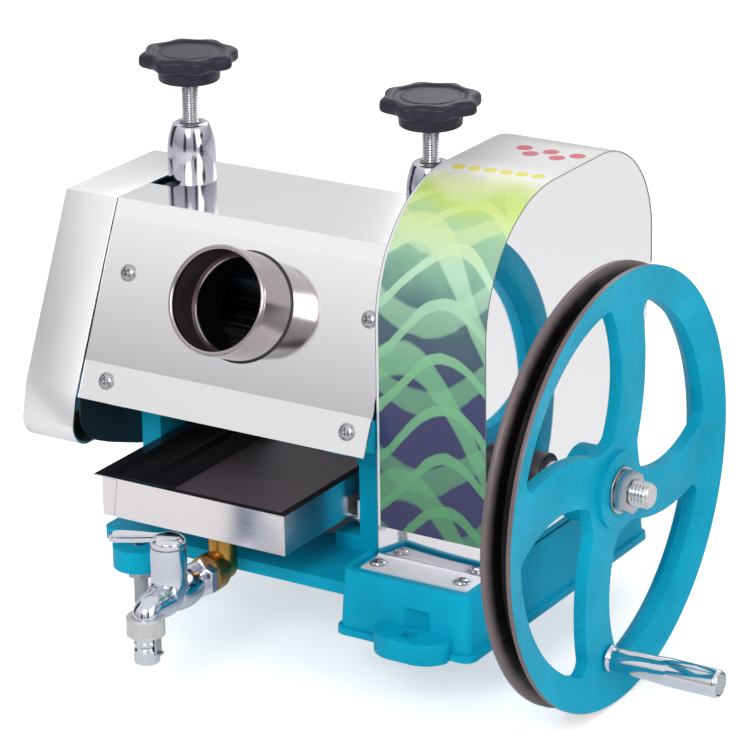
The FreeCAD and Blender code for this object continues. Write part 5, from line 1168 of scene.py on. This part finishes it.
def make_liner():
    """An upright sheet in the YZ plane with a rounded lower edge."""
    edge = np.array(LINER)
    rings = [np.column_stack([np.full(len(edge), x), edge]) for x in (-284.6, -283.2)]
    middle = [ring.mean(axis=0)[None, :].repeat(len(edge), axis=0) for ring in rings]
    grid = np.stack([middle[0], rings[0], rings[1], middle[1]])
    return make_piece("Cover liner", [weave(grid, round_columns=True)], black_collar)


def make_shade_apron():
    """A flat black bar across the base, painted shade under the tray."""
    return make_piece("Shade apron", [block((-238.0, -92.0), (-12.0, -8.0), (6.0, 52.0))], black_collar)


make_liner()
make_shade_apron()
print("liner and apron made")

# %% [markdown]
# The studio: a pale floor, a pale world that shines softly, a large key lamp and a fill.
# Bright metal shows what stands around it, so two dark cards stand out of the picture.
# Only mirror rays see them, and they draw the dark bands that make chrome look like chrome.

# %% Studio
def make_world():
    """The world is white to the eye, pale grey to light, and graded from top to bottom in mirrors."""
    world = bpy.data.worlds.new("Studio")
    bpy.context.scene.world = world
    world.use_nodes = True
    tree = world.node_tree
    tree.nodes.clear()
    output = add_node(tree, "ShaderNodeOutputWorld")
    rays = add_node(tree, "ShaderNodeLightPath")
    lit = add_node(tree, "ShaderNodeBackground", values={"Color": (1.0, 1.0, 1.0, 1.0), "Strength": 0.60})
    seen = add_node(tree, "ShaderNodeBackground", values={"Color": (1.0, 1.0, 1.0, 1.0), "Strength": 1.0})
    place = add_node(tree, "ShaderNodeTexCoord").outputs["Generated"]
    split = add_node(tree, "ShaderNodeSeparateXYZ", {"Vector": place})
    ramp = add_node(tree, "ShaderNodeValToRGB", {"Fac": split.outputs["Z"]})
    ramp.color_ramp.elements[0].position = 0.0
    ramp.color_ramp.elements[0].color = (0.44, 0.44, 0.46, 1.0)
    ramp.color_ramp.elements[1].position = 0.5
    ramp.color_ramp.elements[1].color = (1.0, 1.0, 1.0, 1.0)
    mirrored = add_node(tree, "ShaderNodeBackground", {"Color": ramp.outputs["Color"]}, {"Strength": 1.0})
    first = add_node(tree, "ShaderNodeMixShader", {0: rays.outputs["Is Camera Ray"], 1: lit.outputs[0],
                                                   2: seen.outputs[0]})
    clear = add_node(tree, "ShaderNodeMath", {0: rays.outputs["Is Glossy Ray"],
                                              1: rays.outputs["Is Transmission Ray"]}, operation="MAXIMUM")
    second = add_node(tree, "ShaderNodeMixShader", {0: clear.outputs[0], 1: first.outputs[0],
                                                    2: mirrored.outputs[0]})
    tree.links.new(second.outputs[0], output.inputs["Surface"])


def make_floor(height):
    """A pale floor that the eye and mirrors see as white, and that keeps a soft shadow."""
    material, tree, shader = new_material("Studio floor", (0.93, 0.93, 0.93), 0.9)
    rays = add_node(tree, "ShaderNodeLightPath")
    clear = add_node(tree, "ShaderNodeMath", {0: rays.outputs["Is Glossy Ray"],
                                              1: rays.outputs["Is Transmission Ray"]}, operation="MAXIMUM")
    eye = add_node(tree, "ShaderNodeMath", {0: rays.outputs["Is Camera Ray"]}, {1: 0.5}, operation="MULTIPLY")
    lift = add_node(tree, "ShaderNodeMath", {0: clear.outputs[0], 2: eye.outputs[0]}, {1: 0.08},
                    operation="MULTIPLY_ADD")
    glow = add_node(tree, "ShaderNodeEmission", {"Strength": lift.outputs[0]}, {"Color": (1.0, 1.0, 1.0, 1.0)})
    total = add_node(tree, "ShaderNodeAddShader", {0: shader.outputs[0], 1: glow.outputs[0]})
    tree.links.new(total.outputs[0], tree.nodes["Material Output"].inputs["Surface"])
    half = 8.0
    mesh = bpy.data.meshes.new("Studio floor")
    mesh.from_pydata([(-half, -half, height), (half, -half, height), (half, half, height),
                      (-half, half, height)], [], [(0, 1, 2, 3)])
    floor = bpy.data.objects.new("Studio floor", mesh)
    mesh.materials.append(material)
    bpy.context.collection.objects.link(floor)
    return floor


def add_lamp(name, place, aim, size, watts):
    """A square area lamp at place, pointed at aim."""
    lamp = bpy.data.lights.new(name, "AREA")
    lamp.shape = "RECTANGLE"
    lamp.size, lamp.size_y = size
    lamp.energy = watts
    holder = bpy.data.objects.new(name, lamp)
    holder.location = place
    holder.rotation_euler = (Vector(aim) - Vector(place)).to_track_quat("-Z", "Y").to_euler()
    bpy.context.collection.objects.link(holder)
    return holder


def add_card(name, place, aim, size, shade):
    """A card that only mirror rays see: it gives bright metal something dark to show."""
    half = Vector((size[0] / 2, size[1] / 2, 0.0))
    mesh = bpy.data.meshes.new(name)
    mesh.from_pydata([(-half.x, -half.y, 0), (half.x, -half.y, 0), (half.x, half.y, 0), (-half.x, half.y, 0)],
                     [], [(0, 1, 2, 3)])
    material, tree, shader = new_material(name, (0.0, 0.0, 0.0), 1.0)
    shader.inputs["Specular IOR Level"].default_value = 0.0
    shader.inputs["Emission Color"].default_value = (*shade, 1.0)
    shader.inputs["Emission Strength"].default_value = 1.0
    mesh.materials.append(material)
    card = bpy.data.objects.new(name, mesh)
    card.location = place
    card.rotation_euler = (Vector(aim) - Vector(place)).to_track_quat("-Z", "Y").to_euler()
    card.visible_camera = False
    card.visible_diffuse = False
    card.visible_shadow = False
    bpy.context.collection.objects.link(card)
    return card


low = cad_box[0]
FLOOR_GAP = 0.0015
make_world()
make_floor(low[2] - FLOOR_GAP)
MIDDLE = (-0.09, 0.0, 0.15)
add_lamp("Key lamp", (0.3, -1.9, 1.4), MIDDLE, (0.9, 0.9), 17.0)
add_lamp("Fill lamp", (1.8, -0.6, 0.9), MIDDLE, (1.0, 1.4), 9.0)
add_lamp("Back lamp", (-0.3, 1.6, 1.2), MIDDLE, (1.6, 0.8), 5.0)
add_card("Dark card left", (-2.1, -0.30, 0.5), MIDDLE, (0.80, 2.0), (0.03, 0.03, 0.05))
add_card("Dark card front", (-0.15, -2.2, 0.35), MIDDLE, (0.55, 1.6), (0.04, 0.04, 0.06))
add_card("Dark card right", (1.6, -1.5, 0.4), MIDDLE, (0.50, 1.8), (0.05, 0.05, 0.08))
print("floor at", round(low[2] - FLOOR_GAP, 4))

# %% [markdown]
# The camera stands where the photograph was taken: in front, to the right and above, far away
# with a long lens. Its place was found by fitting the corners of the housing, the wheel's
# ellipse and the tray. It is written as a place, three angles and a focal length in pixels.

# %% Camera
FOCAL_PIXELS = 3596.0
PICTURE_PIXELS = 750.0
SENSOR_MM = 36.0
CAMERA_PLACE = Vector((1.1335, -1.9840, 1.0009))
YAW, PITCH, ROLL = (math.radians(angle) for angle in (32.01, 20.29, -0.83))


def make_camera():
    """The viewing axes follow from yaw about Z, pitch below the horizon and roll about the view."""
    forward = Vector((-math.sin(YAW) * math.cos(PITCH), math.cos(YAW) * math.cos(PITCH), -math.sin(PITCH)))
    right = Vector((math.cos(YAW), math.sin(YAW), 0.0))
    above = right.cross(forward)
    across = right * math.cos(ROLL) + above * math.sin(ROLL)
    upward = above * math.cos(ROLL) - right * math.sin(ROLL)
    data = bpy.data.cameras.new("Camera")
    data.sensor_width = SENSOR_MM
    data.lens = FOCAL_PIXELS * SENSOR_MM / PICTURE_PIXELS
    data.clip_end = 50.0
    camera = bpy.data.objects.new("Camera", data)
    turn = Matrix((across, upward, -forward)).transposed().to_4x4()
    camera.matrix_world = Matrix.Translation(CAMERA_PLACE) @ turn
    bpy.context.collection.objects.link(camera)
    bpy.context.scene.camera = camera
    return camera


camera = make_camera()
bpy.context.scene.view_settings.view_transform = "Standard"
print("lens in mm:", round(camera.data.lens, 1))

# %% [markdown]

# %% Finish
print("scene ready")
